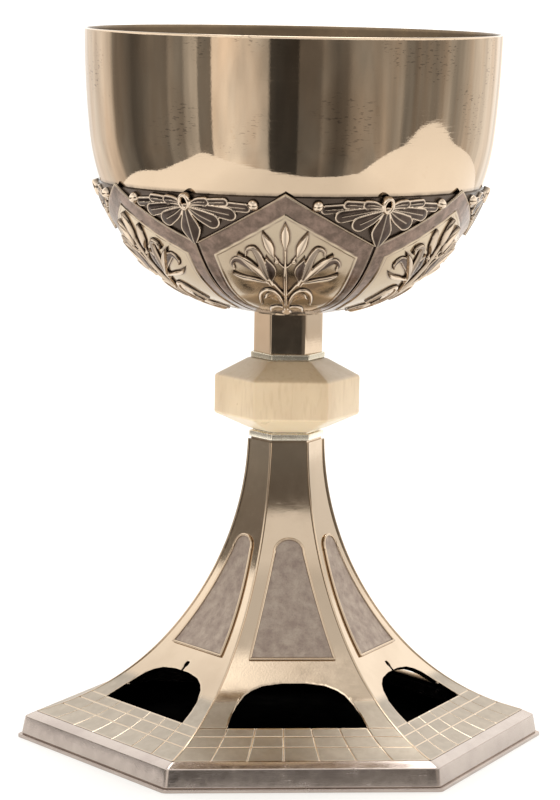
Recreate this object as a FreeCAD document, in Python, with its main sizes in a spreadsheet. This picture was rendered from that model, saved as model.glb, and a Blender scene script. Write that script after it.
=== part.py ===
import FreeCAD, Part
import math
import os
import Sketcher
from FreeCAD import Placement, Rotation, Vector

# Communion chalice: a round cup in a six-petalled calyx, a hexagonal stem with an ivory knop,
# and a pierced hexagonal foot. One tie rod, soldered under the cup, runs down through the loose
# stem pieces and is clamped by a washer and nut inside the foot's neck.
# Frame: +Z up, origin on the table at the centre of the foot, one foot face towards -Y, mm.

os.makedirs("parts", exist_ok=True)
doc = FreeCAD.newDocument("Chalice")

# ---------------------------------------------------------------- driving dimensions
SIZES = {
    # cup: outer profile from the rim down, as arcs that run into each other
    "rim_height": 180.0, "rim_radius": 52.2, "rim_lean": 0.86, "cup_wall": 0.9, "lip_round": 0.3,
    "lip_arc": 277.0, "lip_sweep": 5.3,
    "side_arc": 55.9, "side_sweep": 32.7,
    "belly_arc": 34.8, "belly_sweep": 29.4,
    "root_arc": 63.3, "cup_bottom": 110.8,
    # calyx: a thin skin over the cup, and six gabled petals on the skin
    "skin_wall": 0.5, "skin_top": 141.8,
    "petal_wall": 0.7, "petal_peak": 142.7, "petal_valley": 130.0, "petal_valley_half": 21.5,
    "petal_root": 9.2, "petal_sector": 59.0, "relief_height": 1.2,
    # seat and tie rod
    "seat_radius": 8.9, "spigot_radius": 6.2, "spigot_length": 4.0,
    "rod_radius": 3.0, "rod_bottom": 61.5, "bore_gap": 0.05,
    # stem pieces, hexagons given by their corner radius
    "stem_top": 109.5, "stem_bottom": 99.45, "stem_corner": 8.68, "stem_wall": 0.9,
    "upper_collar_corner": 9.4, "upper_collar_bottom": 97.9,
    "knop_corner": 18.45, "knop_bottom": 79.9, "knop_belt_low": 83.75, "knop_belt_high": 93.45,
    "knop_top_corner": 10.0, "knop_bottom_corner": 9.5, "sleeve_radius": 4.6,
    "lower_collar_corner": 9.55, "lower_collar_bottom": 77.8, "lower_collar_top": 79.4,
    "lower_neck_corner": 8.65,
    # foot panels: outer profile at the middle of a face, two arcs from the neck down, with the
    # level at which the upper one would stand upright
    "neck_height": 77.2, "neck_corner": 9.43, "foot_wall": 1.2, "foot_upright": 77.7,
    "foot_upper_arc": 84.05, "foot_upper_sweep": 37.76, "foot_lower_arc": 56.2,
    "tile_corner": 62.6, "tile_height": 6.76,
    # raised wire along each arris
    "ridge_width": 0.6, "ridge_bead": 0.35, "ridge_depth": 1.5, "ridge_upright": 78.73,
    "ridge_upper_arc": 77.68, "ridge_upper_sweep": 42.99, "ridge_lower_arc": 65.69,
    # pierced windows
    "window_sill": 12.0, "window_half": 17.2, "window_spring": 18.0, "window_spring_half": 12.9,
    "window_crown": 20.0, "window_crown_half": 8.4, "window_corner_arc": 7.0,
    "window_crown_arc": 60.0, "slot_half": 0.3, "slot_top": 22.0, "slot_eye": 0.6,
    # etched plates and the wire frames round them
    "plate_sill": 26.0, "plate_half": 10.1, "plate_spring": 50.0, "plate_spring_half": 3.3,
    "plate_side_arc": 260.0, "plate_top_arc": 3.4, "plate_wall": 0.25,
    "frame_width": 0.7, "frame_height": 0.6,
    # base
    "fascia_corner": 66.45, "fascia_top": 5.48, "fascia_wall": 1.2, "ledge_under": 4.5,
    "flange_corner": 67.43, "flange_height": 0.85, "flange_inner_corner": 61.0,
    "plate_floor_corner": 64.6, "plate_floor_height": 0.8, "spanner_hole_radius": 10.0,
    # clamp under the neck
    "cap_corner": 8.9, "washer_radius": 6.0, "washer_height": 1.2,
    "nut_corner": 5.77, "nut_height": 5.0,
    # how far each stacked piece is turned about the rod, in degrees
    "cup_turn": -7.0, "stem_turn": -5.7, "upper_collar_turn": -1.2, "knop_turn": -2.2,
    "lower_collar_turn": 1.4,
}

# Leaves of the lily spray and of the palmette, as ellipses seen from the front of the cup:
# across, height, half length, half width, tilt from level in degrees. Side leaves come in pairs.
LILY_MIDDLE = {
    "lily_stalk": (0.0, 121.5, 9.3, 0.6, 90.0),
    "lily_bud": (0.0, 132.6, 2.6, 1.1, 90.0),
    "lily_foot": (0.0, 113.2, 1.5, 2.2, 90.0),
}
LILY_PAIRS = {
    "lily_side_bud": (4.5, 130.5, 2.7, 0.95, 68.0),
    "lily_bud_stalk": (1.9, 127.4, 2.5, 0.45, 38.0),
    "lily_inner_petal": (5.3, 124.9, 3.6, 1.3, 74.0),
    "lily_middle_petal": (7.9, 124.6, 4.8, 1.0, 36.0),
    "lily_outer_petal": (8.6, 122.6, 4.4, 0.9, 8.0),
    "lily_flower_stalk": (2.3, 119.4, 2.9, 0.5, 50.0),
    "lily_curled_leaf": (3.6, 116.6, 3.6, 1.8, 42.0),
    "lily_base_leaf": (2.6, 113.3, 2.4, 0.8, 12.0),
}
PALM_MIDDLE = {
    "palm_pendant": (0.0, 134.6, 4.4, 3.0, 90.0),
    "palm_boss": (0.0, 140.2, 1.8, 1.7, 90.0),
}
PALM_PAIRS = {
    "palm_low_leaf": (4.2, 136.4, 4.4, 2.0, -38.0),
    "palm_wing_leaf": (7.2, 137.3, 5.6, 2.0, -19.0),
    "palm_tip_leaf": (9.8, 138.7, 7.0, 1.5, 4.0),
    "palm_ball": (16.4, 139.8, 1.5, 1.4, 0.0),
    "palm_inner_scroll": (3.9, 140.0, 2.7, 1.3, 8.0),
    "palm_middle_scroll": (8.0, 140.3, 2.6, 1.1, 0.0),
    "palm_outer_scroll": (12.2, 140.1, 2.6, 1.0, 0.0),
}
LEAF_WORDS = ("across", "level", "long", "wide", "tilt")

sheet = doc.addObject("Spreadsheet::Sheet", "Dims")
row = 0


def add_cell(alias, value):
    """Write one plain number into the sheet under its alias."""
    global row
    row += 1
    sheet.set("A%d" % row, alias)
    sheet.set("B%d" % row, repr(value))
    sheet.setAlias("B%d" % row, alias)


for alias, value in SIZES.items():
    add_cell(alias, value)
for table in (LILY_MIDDLE, LILY_PAIRS, PALM_MIDDLE, PALM_PAIRS):
    for leaf, numbers in table.items():
        for word, value in zip(LEAF_WORDS, numbers):
            add_cell(leaf + "_" + word, value)
doc.recompute()


class Dim:
    """A length or angle that carries its value and the sheet expression that gives it."""

    def __init__(self, value, text):
        self.value = value
        self.text = text

    def __add__(self, other):
        other = as_dim(other)
        return Dim(self.value + other.value, "(%s + %s)" % (self.text, other.text))

    def __sub__(self, other):
        other = as_dim(other)
        return Dim(self.value - other.value, "(%s - %s)" % (self.text, other.text))

    def __mul__(self, other):
        other = as_dim(other)
        return Dim(self.value * other.value, "%s * %s" % (self.text, other.text))

    def __neg__(self):
        return Dim(-self.value, "(0 - %s)" % self.text)


def as_dim(number):
    """Let plain numbers be mixed with sheet dimensions."""
    return number if isinstance(number, Dim) else Dim(float(number), repr(float(number)))


def cell(alias):
    return Dim(float(sheet.get(alias)), "Dims." + alias)


def cosine(angle):
    return Dim(math.cos(math.radians(angle.value)), "cos(%s * 1 deg)" % angle.text)


def sine(angle):
    return Dim(math.sin(math.radians(angle.value)), "sin(%s * 1 deg)" % angle.text)


def root(dim):
    return Dim(math.sqrt(dim.value), "sqrt(%s)" % dim.text)


FLAT = cosine(as_dim(30))      # flat-to-corner ratio of a hexagon
HALF = sine(as_dim(30))
TAN30 = Dim(math.tan(math.radians(30)), "tan(30 deg)")
ZERO = as_dim(0)
CLEAR = as_dim(5)              # how far a cutting outline passes the piece it trims
LEVEL, UPRIGHT = 1, 2          # which coordinate a constraint fixes


# ---------------------------------------------------------------- sketches and features
class Arc:
    """An outline step that bulges to the right of its direction of travel."""

    def __init__(self, radius, side="right"):
        self.radius = radius
        self.side = side


def arc_geometry(start, end, radius, side):
    """The minor arc of this radius from start to end, bulging to the given side."""
    chord = end.sub(start)
    middle = start.add(chord * 0.5)
    sagitta = radius - math.sqrt(radius ** 2 - (chord.Length / 2) ** 2)
    to_right = Vector(chord.y, -chord.x, 0).normalize()
    bulge = to_right * (sagitta if side == "right" else -sagitta)
    return Part.Arc(start, middle.add(bulge), end)


def fix_coordinate(sketch, element, point, which, dim):
    """Tie one coordinate of a sketch point to a sheet expression."""
    if abs(dim.value) < 1e-9:
        axis = -2 if which == LEVEL else -1
        sketch.addConstraint(Sketcher.Constraint("PointOnObject", element, point, axis))
        return
    kind = "DistanceX" if which == LEVEL else "DistanceY"
    index = sketch.addConstraint(Sketcher.Constraint(kind, -1, 1, element, point, dim.value))
    sketch.setExpression("Constraints[%d]" % index, dim.text)


def add_outline(sketch, points, steps=None):
    """Add a closed outline. steps[i] leads from points[i] to the next: None is a straight line."""
    count = len(points)
    steps = steps or [None] * count
    places = [Vector(across.value, up.value, 0) for across, up in points]
    first = sketch.GeometryCount
    for i, step in enumerate(steps):
        start, end = places[i], places[(i + 1) % count]
        if step is None:
            sketch.addGeometry(Part.LineSegment(start, end), False)
        else:
            shape = arc_geometry(start, end, step.radius.value, step.side)
            sketch.addGeometry(shape, False)
    ends = []
    for i in range(count):
        element = first + i
        begins_here = sketch.getPoint(element, 1).distanceToPoint(places[i]) < 1e-6
        ends.append((1, 2) if begins_here else (2, 1))
    for i in range(count):
        after = (i + 1) % count
        link = Sketcher.Constraint("Coincident", first + i, ends[i][1], first + after, ends[after][0])
        sketch.addConstraint(link)
    for i, (across, up) in enumerate(points):
        fix_coordinate(sketch, first + i, ends[i][0], LEVEL, across)
        fix_coordinate(sketch, first + i, ends[i][0], UPRIGHT, up)
    for i, step in enumerate(steps):
        if step is not None:
            bound = Sketcher.Constraint("Radius", first + i, step.radius.value)
            index = sketch.addConstraint(bound)
            sketch.setExpression("Constraints[%d]" % index, step.radius.text)


def add_circle(sketch, across, up, radius):
    centre = Vector(across.value, up.value, 0)
    index = sketch.addGeometry(Part.Circle(centre, Vector(0, 0, 1), radius.value), False)
    fix_coordinate(sketch, index, 3, LEVEL, across)
    fix_coordinate(sketch, index, 3, UPRIGHT, up)
    bound = sketch.addConstraint(Sketcher.Constraint("Radius", index, radius.value))
    sketch.setExpression("Constraints[%d]" % bound, radius.text)


def new_body(name):
    body = doc.addObject("PartDesign::Body", name)
    body.Label = name
    return body


def new_sketch(body, name, plane, height=None):
    """A sketch on one of the body's own origin planes, raised along the plane's normal."""
    sketch = body.newObject("Sketcher::SketchObject", name)
    support = [f for f in body.Origin.OriginFeatures if f.Role == plane][0]
    sketch.AttachmentSupport = [(support, "")]
    sketch.MapMode = "FlatFace"
    if height is not None:
        sketch.setExpression("AttachmentOffset.Base.z", height.text)
    return sketch


def hexagon(corner):
    """Six corners, two of them on the X axis, so that two flats face -Y and +Y."""
    high = corner * FLAT
    half = corner * HALF
    return [(corner, ZERO), (half, high), (-half, high), (-corner, ZERO), (-half, -high), (half, -high)]


def pad(body, sketch, length, symmetric=False):
    feature = body.newObject("PartDesign::Pad", sketch.Name + "_pad")
    feature.Profile = sketch
    feature.setExpression("Length", as_dim(length).text)
    if symmetric:
        feature.SideType = "Symmetric"
    return feature


def cut_through(body, sketch):
    """Cut the sketch right through the body, both ways."""
    feature = body.newObject("PartDesign::Pocket", sketch.Name + "_cut")
    feature.Profile = sketch
    feature.Type = "ThroughAll"
    feature.SideType = "Symmetric"
    return feature


def cut_up(body, sketch, length):
    """Cut upwards from a level sketch by the given depth."""
    feature = body.newObject("PartDesign::Pocket", sketch.Name + "_cut")
    feature.Profile = sketch
    feature.Reversed = True
    feature.setExpression("Length", as_dim(length).text)
    return feature


def revolve(body, sketch, angle=None):
    """Turn a sketch about the chalice's axis: fully, or by an angle centred on the sketch."""
    feature = body.newObject("PartDesign::Revolution", sketch.Name + "_turn")
    feature.Profile = sketch
    feature.ReferenceAxis = (sketch, ["V_Axis"])
    if angle is None:
        feature.Angle = 360
    else:
        feature.Midplane = True
        feature.setExpression("Angle", angle.text)
    return feature


def loft(body, low, high):
    feature = body.newObject("PartDesign::AdditiveLoft", low.Name + "_loft")
    feature.Profile = low
    feature.Sections = [high]
    feature.Ruled = True
    return feature


def bore(body, name, radius):
    """A round hole along the axis, right through the body."""
    sketch = new_sketch(body, name, "XY_Plane")
    add_circle(sketch, ZERO, ZERO, radius)
    return cut_through(body, sketch)


def turned(angle):
    return Placement(Vector(0, 0, 0), Rotation(Vector(0, 0, 1), angle))


def turn_about_axis(body, angle):
    """Bind the body's turn about the rod to the sheet."""
    body.Placement = turned(angle.value)
    body.setExpression("Placement.Rotation.Angle", angle.text + " * 1 deg")


def hex_ring(name, corner, low, high, inner_corner=None, bore_radius=None):
    """A level hexagonal plate or tube between two heights."""
    body = new_body(name)
    outer = new_sketch(body, name + "_outer", "XY_Plane", low)
    add_outline(outer, hexagon(corner))
    if inner_corner is not None:
        add_outline(outer, hexagon(inner_corner))
    pad(body, outer, high - low)
    if bore_radius is not None:
        bore(body, name + "_bore", bore_radius)
    return body


# ---------------------------------------------------------------- profiles
def cup_profile(offset):
    """Outer profile of the cup from the rim down to its flat bottom, moved out by offset.

    Returns the junction points in the (radius, height) plane and the arcs between them.
    """
    outward = cell("rim_lean")
    steps = (("lip_arc", "lip_sweep", "side_arc"), ("side_arc", "side_sweep", "belly_arc"),
             ("belly_arc", "belly_sweep", "root_arc"))
    radius = cell("lip_arc")
    centre_r = cell("rim_radius") - radius * cosine(outward)
    centre_z = cell("rim_height") + radius * sine(outward)
    top_reach = cell("rim_height") - centre_z
    full = radius + offset
    rim = (centre_r + root(full * full - top_reach * top_reach), cell("rim_height"))
    points = [rim]
    arcs = []
    lean = outward
    for arc_name, sweep_name, next_name in steps:
        reach = cell(arc_name) + offset
        lean = lean + cell(sweep_name)
        arcs.append(reach)
        points.append((centre_r + reach * cosine(lean), centre_z - reach * sine(lean)))
        shrink = cell(arc_name) - cell(next_name)
        centre_r = centre_r + shrink * cosine(lean)
        centre_z = centre_z - shrink * sine(lean)
    reach = cell("root_arc") + offset
    bottom = cell("cup_bottom") - offset
    fall = centre_z - bottom
    points.append((centre_r + root(reach * reach - fall * fall), bottom))
    arcs.append(reach)
    return points, arcs


def foot_profile(offset, top, upright, upper, sweep, lower, end):
    """Concave foot profile from the neck down to the radius end, moved out by offset."""
    reach = upper - offset
    centre_z = upright
    fall = upright - cell("neck_height")
    centre_r = top + root(upper * upper - fall * fall)
    neck = (centre_r - root(reach * reach - fall * fall), cell("neck_height"))
    joint = (centre_r - reach * cosine(sweep), centre_z - reach * sine(sweep))
    centre_r = centre_r - (upper - lower) * cosine(sweep)
    centre_z = centre_z - (upper - lower) * sine(sweep)
    reach = lower - offset
    run = centre_r - end
    tail = (end, centre_z - root(reach * reach - run * run))
    return [neck, joint, tail], [upper - offset, reach]


def face_profile(offset, end):
    upper, sweep, lower = cell("foot_upper_arc"), cell("foot_upper_sweep"), cell("foot_lower_arc")
    top = cell("neck_corner") * FLAT
    return foot_profile(offset, top, cell("foot_upright"), upper, sweep, lower, end)


def ridge_profile(offset):
    """The same along an arris. It stops short of the tile edge's corner by half its own width."""
    upper, sweep, lower = cell("ridge_upper_arc"), cell("ridge_upper_sweep"), cell("ridge_lower_arc")
    end = cell("tile_corner") - cell("ridge_width") * 0.5
    return foot_profile(offset, cell("neck_corner"), cell("ridge_upright"), upper, sweep, lower, end)


def mirrored(points):
    """Put a profile on the -Y side of the YZ plane."""
    return [(-r, z) for r, z in points]


# ---------------------------------------------------------------- cup body
def shell_sketch(body, name, outer_offset, inner_offset, top=None, axis_line=False):
    """Section of a shell that follows the cup between two offsets, on the -Y side."""
    outer_points, outer_arcs = cup_profile(outer_offset)
    inner_points, inner_arcs = cup_profile(inner_offset)
    points = mirrored(outer_points) + mirrored(inner_points[::-1])
    # from the rim down the profile bulges to its right; the way back up bulges to its left
    steps = [Arc(radius, "right") for radius in outer_arcs] + [None]
    steps += [Arc(radius, "left") for radius in inner_arcs[::-1]] + [None]
    if axis_line:
        low, high = outer_points[-1][1], inner_points[-1][1]
        joint = len(outer_points)
        points[joint:joint] = [(ZERO, low), (ZERO, high)]
        steps[joint - 1:joint] = [None, None, None]
    sketch = new_sketch(body, name, "YZ_Plane")
    add_outline(sketch, points, steps)
    return sketch


def cup_bowl():
    body = new_body("cup_bowl")
    section = shell_sketch(body, "bowl_section", ZERO, -cell("cup_wall"), axis_line=True)
    turned_shell = revolve(body, section)
    doc.recompute()
    rim = cell("rim_height").value
    rim_edges = []
    for number, edge in enumerate(turned_shell.Shape.Edges, start=1):
        if edge.BoundBox.ZMin > rim - 1e-3 and edge.Closed:
            rim_edges.append("Edge%d" % number)
    lip = body.newObject("PartDesign::Fillet", "lip_fillet")
    lip.Base = (turned_shell, rim_edges)
    lip.setExpression("Radius", "Dims.lip_round")
    return body


def trim_above(body, name, level):
    """Cut away everything above a level."""
    sketch = new_sketch(body, name, "XZ_Plane")
    top = cell("rim_height") + CLEAR
    edge = cell("rim_radius") + CLEAR
    add_outline(sketch, [(-edge, level), (edge, level), (edge, top), (-edge, top)])
    return cut_through(body, sketch)


def calyx_skin():
    body = new_body("calyx_skin")
    section = shell_sketch(body, "skin_section", cell("skin_wall"), ZERO, axis_line=True)
    revolve(body, section)
    trim_above(body, "skin_trim", cell("skin_top"))
    return body


def calyx_petal():
    """One gabled petal, made facing -Y."""
    body = new_body("petal_pattern")
    inner = cell("skin_wall")
    section = shell_sketch(body, "petal_section", inner + cell("petal_wall"), inner)
    revolve(body, section, cell("petal_sector"))
    gable = new_sketch(body, "petal_gable", "XZ_Plane")
    peak, valley, half = cell("petal_peak"), cell("petal_valley"), cell("petal_valley_half")
    side = half * 2
    fall = valley - (peak - valley)
    top = cell("rim_height") + CLEAR
    add_outline(gable, [(ZERO, peak), (side, fall), (side, top), (-side, top), (-side, fall)])
    cut_through(body, gable)
    bore(body, "petal_foot", cell("petal_root"))
    return body


def leaf_prism(leaf, mirror=False):
    """An ellipse from the leaf tables, pulled out towards -Y as a prism."""
    across, level, long, wide, tilt = [cell(leaf + "_" + word) for word in LEAF_WORDS]
    name = leaf + ("_left" if mirror else "_right")
    shape = doc.addObject("Part::Ellipse", name)
    lengthwise = long.value >= wide.value
    shape.setExpression("MajorRadius", (long if lengthwise else wide).text)
    shape.setExpression("MinorRadius", (wide if lengthwise else long).text)
    lean = tilt.value if lengthwise else tilt.value - 90
    lean = 180 - lean if mirror else lean
    stand = Rotation(Vector(1, 0, 0), 90)
    shape.Placement = Placement(Vector(0, 0, 0), stand.multiply(Rotation(Vector(0, 0, 1), lean)))
    shape.setExpression("Placement.Base.x", (-across if mirror else across).text)
    shape.setExpression("Placement.Base.z", level.text)
    prism = doc.addObject("Part::Extrusion", name + "_prism")
    prism.Base = shape
    prism.DirMode = "Custom"
    prism.Dir = Vector(0, -1, 0)
    prism.setExpression("LengthFwd", (cell("rim_radius") + CLEAR).text)
    prism.Solid = True
    return prism


def relief(name, middle, pairs, low, high):
    """Raised ornament: the leaves' prisms, kept between two offsets of the cup's profile."""
    prisms = [leaf_prism(leaf) for leaf in middle]
    for leaf in pairs:
        prisms.append(leaf_prism(leaf))
        prisms.append(leaf_prism(leaf, mirror=True))
    leaves = doc.addObject("Part::MultiFuse", name + "_leaves")
    leaves.Shapes = prisms
    band = new_body(name + "_band")
    revolve(band, shell_sketch(band, name + "_section", high, low), cell("petal_sector"))
    ornament = doc.addObject("Part::Common", name)
    ornament.Base = band
    ornament.Tool = leaves
    return ornament


def ring_of_six(pattern, name, first_angle, turn=None):
    """Six numbered copies of a pattern, sixty degrees apart about the axis."""
    copies = []
    for index in range(6):
        copy = doc.addObject("Part::Compound", "%s_%d" % (name, index + 1))
        copy.Label = copy.Name
        copy.Links = [pattern if not isinstance(pattern, list) else pattern[index % len(pattern)]]
        angle = as_dim(first_angle + 60.0 * index)
        if turn is not None:
            angle = angle + turn
        turn_about_axis(copy, angle)
        copies.append(copy)
    return copies


def fitted_between(ornament, petal):
    """Trim an ornament that stands between two petals back to the petals' edges."""
    neighbours = []
    for side, angle in (("left", -30), ("right", 30)):
        neighbour = doc.addObject("Part::Compound", "petal_" + side)
        neighbour.Links = [petal]
        neighbour.Placement = turned(angle)
        neighbours.append(neighbour)
    pair = doc.addObject("Part::Compound", "petal_pair")
    pair.Links = neighbours
    fitted = doc.addObject("Part::Cut", ornament.Name + "_fitted")
    fitted.Base = ornament
    fitted.Tool = pair
    return fitted


def cup_seat():
    """Disc soldered under the calyx, with a spigot that centres the stem tube."""
    body = new_body("cup_seat")
    underside = cell("cup_bottom") - cell("skin_wall")
    disc = new_sketch(body, "seat_disc", "XY_Plane", cell("stem_top"))
    add_circle(disc, ZERO, ZERO, cell("seat_radius"))
    pad(body, disc, underside - cell("stem_top"))
    spigot = new_sketch(body, "seat_spigot", "XY_Plane", cell("stem_top") - cell("spigot_length"))
    add_circle(spigot, ZERO, ZERO, cell("spigot_radius"))
    pad(body, spigot, cell("spigot_length"))
    return body


def tie_rod():
    body = new_body("tie_rod")
    bottom = cell("rod_bottom")
    round_bar = new_sketch(body, "rod_round", "XY_Plane", bottom)
    add_circle(round_bar, ZERO, ZERO, cell("rod_radius"))
    pad(body, round_bar, cell("stem_top") - cell("spigot_length") - bottom)
    return body


# ---------------------------------------------------------------- stem
def knop():
    """Ivory knop: an upright hexagonal belt between two sloping shoulders."""
    body = new_body("knop")
    low, belt_low = cell("knop_bottom"), cell("knop_belt_low")
    belt_high, high = cell("knop_belt_high"), cell("upper_collar_bottom")
    sections = []
    levels = ((low, "knop_bottom_corner"), (belt_low, "knop_corner"),
              (belt_high, "knop_corner"), (high, "knop_top_corner"))
    for number, (level, corner) in enumerate(levels):
        sketch = new_sketch(body, "knop_level_%d" % number, "XY_Plane", level)
        add_outline(sketch, hexagon(cell(corner)))
        sections.append(sketch)
    for below, above in zip(sections, sections[1:]):
        loft(body, below, above)
    bore(body, "knop_bore", cell("sleeve_radius"))
    return body


def knop_sleeve():
    """Metal tube that lines the knop and takes the clamping load."""
    body = new_body("knop_sleeve")
    tube = new_sketch(body, "sleeve_tube", "XY_Plane", cell("knop_bottom"))
    add_circle(tube, ZERO, ZERO, cell("sleeve_radius"))
    add_circle(tube, ZERO, ZERO, running_bore)
    pad(body, tube, cell("upper_collar_bottom") - cell("knop_bottom"))
    return body


def lower_collar():
    """Collar under the knop, with a narrower neck on top of it."""
    body = new_body("lower_collar")
    low, step, high = cell("lower_collar_bottom"), cell("lower_collar_top"), cell("knop_bottom")
    plate = new_sketch(body, "collar_plate", "XY_Plane", low)
    add_outline(plate, hexagon(cell("lower_collar_corner")))
    pad(body, plate, step - low)
    neck = new_sketch(body, "collar_neck", "XY_Plane", step)
    add_outline(neck, hexagon(cell("lower_neck_corner")))
    pad(body, neck, high - step)
    bore(body, "collar_bore", running_bore)
    return body


# ---------------------------------------------------------------- foot
def foot_section(body, name, outer_offset, inner_offset):
    """Section of a plate that follows the middle of a foot face, on the -Y side."""
    tile_edge = cell("tile_corner") * FLAT
    outer_points, outer_arcs = face_profile(outer_offset, tile_edge)
    inner_points, inner_arcs = face_profile(inner_offset, tile_edge)
    points = mirrored(outer_points) + mirrored(inner_points[::-1])
    steps = [Arc(radius, "left") for radius in outer_arcs] + [None]
    steps += [Arc(radius, "right") for radius in inner_arcs[::-1]] + [None]
    sketch = new_sketch(body, name, "YZ_Plane")
    add_outline(sketch, points, steps)
    return sketch


def keep_inside(body, name, plane, points, steps=None):
    """Cut away all that lies outside an outline, which is kept as an island in a large square."""
    sketch = new_sketch(body, name, plane)
    far = cell("neck_height") + CLEAR
    add_outline(sketch, [(-far, -far), (far, -far), (far, far), (-far, far)])
    add_outline(sketch, points, steps)
    return cut_through(body, sketch)


def foot_panel(name, with_slot):
    """One of six concave sheet panels, made facing -Y, mitred to leave room for the ridge wires."""
    body = new_body(name)
    section = foot_section(body, name + "_section", ZERO, -cell("foot_wall"))
    pad(body, section, cell("tile_corner") * 2, symmetric=True)
    # plan view: a wedge of sixty degrees whose apex is moved out by half a ridge wire
    apex = -cell("ridge_width")
    reach = cell("tile_corner") + CLEAR
    half = (reach + apex) * TAN30
    keep_inside(body, name + "_mitre", "XY_Plane", [(ZERO, apex), (-half, -reach), (half, -reach)])
    window = new_sketch(body, name + "_window", "XZ_Plane")
    sill, spring, crown = cell("window_sill"), cell("window_spring"), cell("window_crown")
    wide, narrow, shoulder = cell("window_half"), cell("window_spring_half"), cell("window_crown_half")
    corner, top = Arc(cell("window_corner_arc")), Arc(cell("window_crown_arc"))
    outline = [(-wide, sill), (wide, sill), (narrow, spring), (shoulder, crown),
               (-shoulder, crown), (-narrow, spring)]
    add_outline(window, outline, [None, None, corner, top, corner, None])
    cut_through(body, window)
    if with_slot:
        slot = new_sketch(body, name + "_slot", "XZ_Plane")
        side, end = cell("slot_half"), cell("slot_top")
        add_outline(slot, [(-side, crown), (side, crown), (side, end), (-side, end)])
        cut_through(body, slot)
        eye = new_sketch(body, name + "_eye", "XZ_Plane")
        add_circle(eye, ZERO, end, cell("slot_eye"))
        cut_through(body, eye)
    return body


def plate_outline(margin):
    """Tall arch in front view, widened all round by a margin."""
    sill, spring = cell("plate_sill") - margin, cell("plate_spring")
    half, narrow = cell("plate_half") + margin, cell("plate_spring_half") + margin
    side, top = Arc(cell("plate_side_arc"), "left"), Arc(cell("plate_top_arc") + margin)
    points = [(-half, sill), (half, sill), (narrow, spring), (-narrow, spring)]
    return points, [None, side, top, side]


def etched_plate():
    body = new_body("plate_pattern")
    section = foot_section(body, "plate_section", cell("plate_wall"), ZERO)
    pad(body, section, cell("plate_half") * 3, symmetric=True)
    points, steps = plate_outline(ZERO)
    keep_inside(body, "plate_arch", "XZ_Plane", points, steps)
    return body


def panel_frame():
    """Wire frame round an etched plate."""
    body = new_body("frame_pattern")
    section = foot_section(body, "frame_section", cell("frame_height"), ZERO)
    pad(body, section, cell("plate_half") * 3, symmetric=True)
    points, steps = plate_outline(cell("frame_width"))
    keep_inside(body, "frame_outside", "XZ_Plane", points, steps)
    inside = new_sketch(body, "frame_inside", "XZ_Plane")
    points, steps = plate_outline(ZERO)
    add_outline(inside, points, steps)
    cut_through(body, inside)
    return body


def ridge_wire():
    """Beaded strip along an arris, made in the YZ plane on the -Y side."""
    body = new_body("ridge_pattern")
    outer_points, outer_arcs = ridge_profile(cell("ridge_bead"))
    inner_points, inner_arcs = ridge_profile(-cell("ridge_depth"))
    points = mirrored(outer_points) + mirrored(inner_points[::-1])
    steps = [Arc(radius, "left") for radius in outer_arcs] + [None]
    steps += [Arc(radius, "right") for radius in inner_arcs[::-1]] + [None]
    section = new_sketch(body, "ridge_section", "YZ_Plane")
    add_outline(section, points, steps)
    pad(body, section, cell("ridge_width"), symmetric=True)
    return body


def base_moulding():
    """Hexagonal rim of the foot: an upright fascia with a bevel that meets the panels."""
    body = new_body("base_moulding")
    low, top, lip = cell("flange_height"), cell("fascia_top"), cell("tile_height")
    fascia = new_sketch(body, "fascia_outer", "XY_Plane", low)
    add_outline(fascia, hexagon(cell("fascia_corner")))
    pad(body, fascia, top - low)
    edge = new_sketch(body, "bevel_low", "XY_Plane", top)
    add_outline(edge, hexagon(cell("fascia_corner")))
    crest = new_sketch(body, "bevel_high", "XY_Plane", lip)
    add_outline(crest, hexagon(cell("tile_corner")))
    loft(body, edge, crest)
    hollow = new_sketch(body, "fascia_hollow", "XY_Plane", low)
    add_outline(hollow, hexagon(cell("fascia_corner") - cell("fascia_wall")))
    cut_up(body, hollow, cell("ledge_under") - low)
    opening = new_sketch(body, "tile_opening", "XY_Plane", low)
    add_outline(opening, hexagon(cell("tile_corner")))
    cut_through(body, opening)
    return body


def base_plate():
    """Floor plate inside the fascia, lying on the flange, with a hole for a spanner."""
    body = new_body("base_plate")
    floor = new_sketch(body, "floor_outer", "XY_Plane", cell("flange_height"))
    add_outline(floor, hexagon(cell("plate_floor_corner")))
    add_circle(floor, ZERO, ZERO, cell("spanner_hole_radius"))
    pad(body, floor, cell("plate_floor_height"))
    return body


def clamp_washer():
    body = new_body("clamp_washer")
    disc = new_sketch(body, "washer_disc", "XY_Plane", washer_bottom)
    add_circle(disc, ZERO, ZERO, cell("washer_radius"))
    add_circle(disc, ZERO, ZERO, running_bore)
    pad(body, disc, cell("washer_height"))
    return body


# ---------------------------------------------------------------- assembly
running_bore = cell("rod_radius") + cell("bore_gap")
washer_bottom = cell("neck_height") - cell("washer_height")
nut_bottom = washer_bottom - cell("nut_height")

cup_parts = [cup_bowl(), calyx_skin(), cup_seat(), tie_rod()]
for piece in cup_parts:
    turn_about_axis(piece, cell("cup_turn"))

skin_face = cell("skin_wall")
petal_face = skin_face + cell("petal_wall")
spray = relief("spray_pattern", LILY_MIDDLE, LILY_PAIRS, petal_face, petal_face + cell("relief_height"))
palm = relief("palm_pattern", PALM_MIDDLE, PALM_PAIRS, skin_face, petal_face + cell("relief_height"))
petal = calyx_petal()
cup_parts += ring_of_six(petal, "calyx_petal", 0.0, cell("cup_turn"))
cup_parts += ring_of_six(spray, "lily_spray", 0.0, cell("cup_turn"))
cup_parts += ring_of_six(fitted_between(palm, petal), "palmette", 30.0, cell("cup_turn"))

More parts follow.
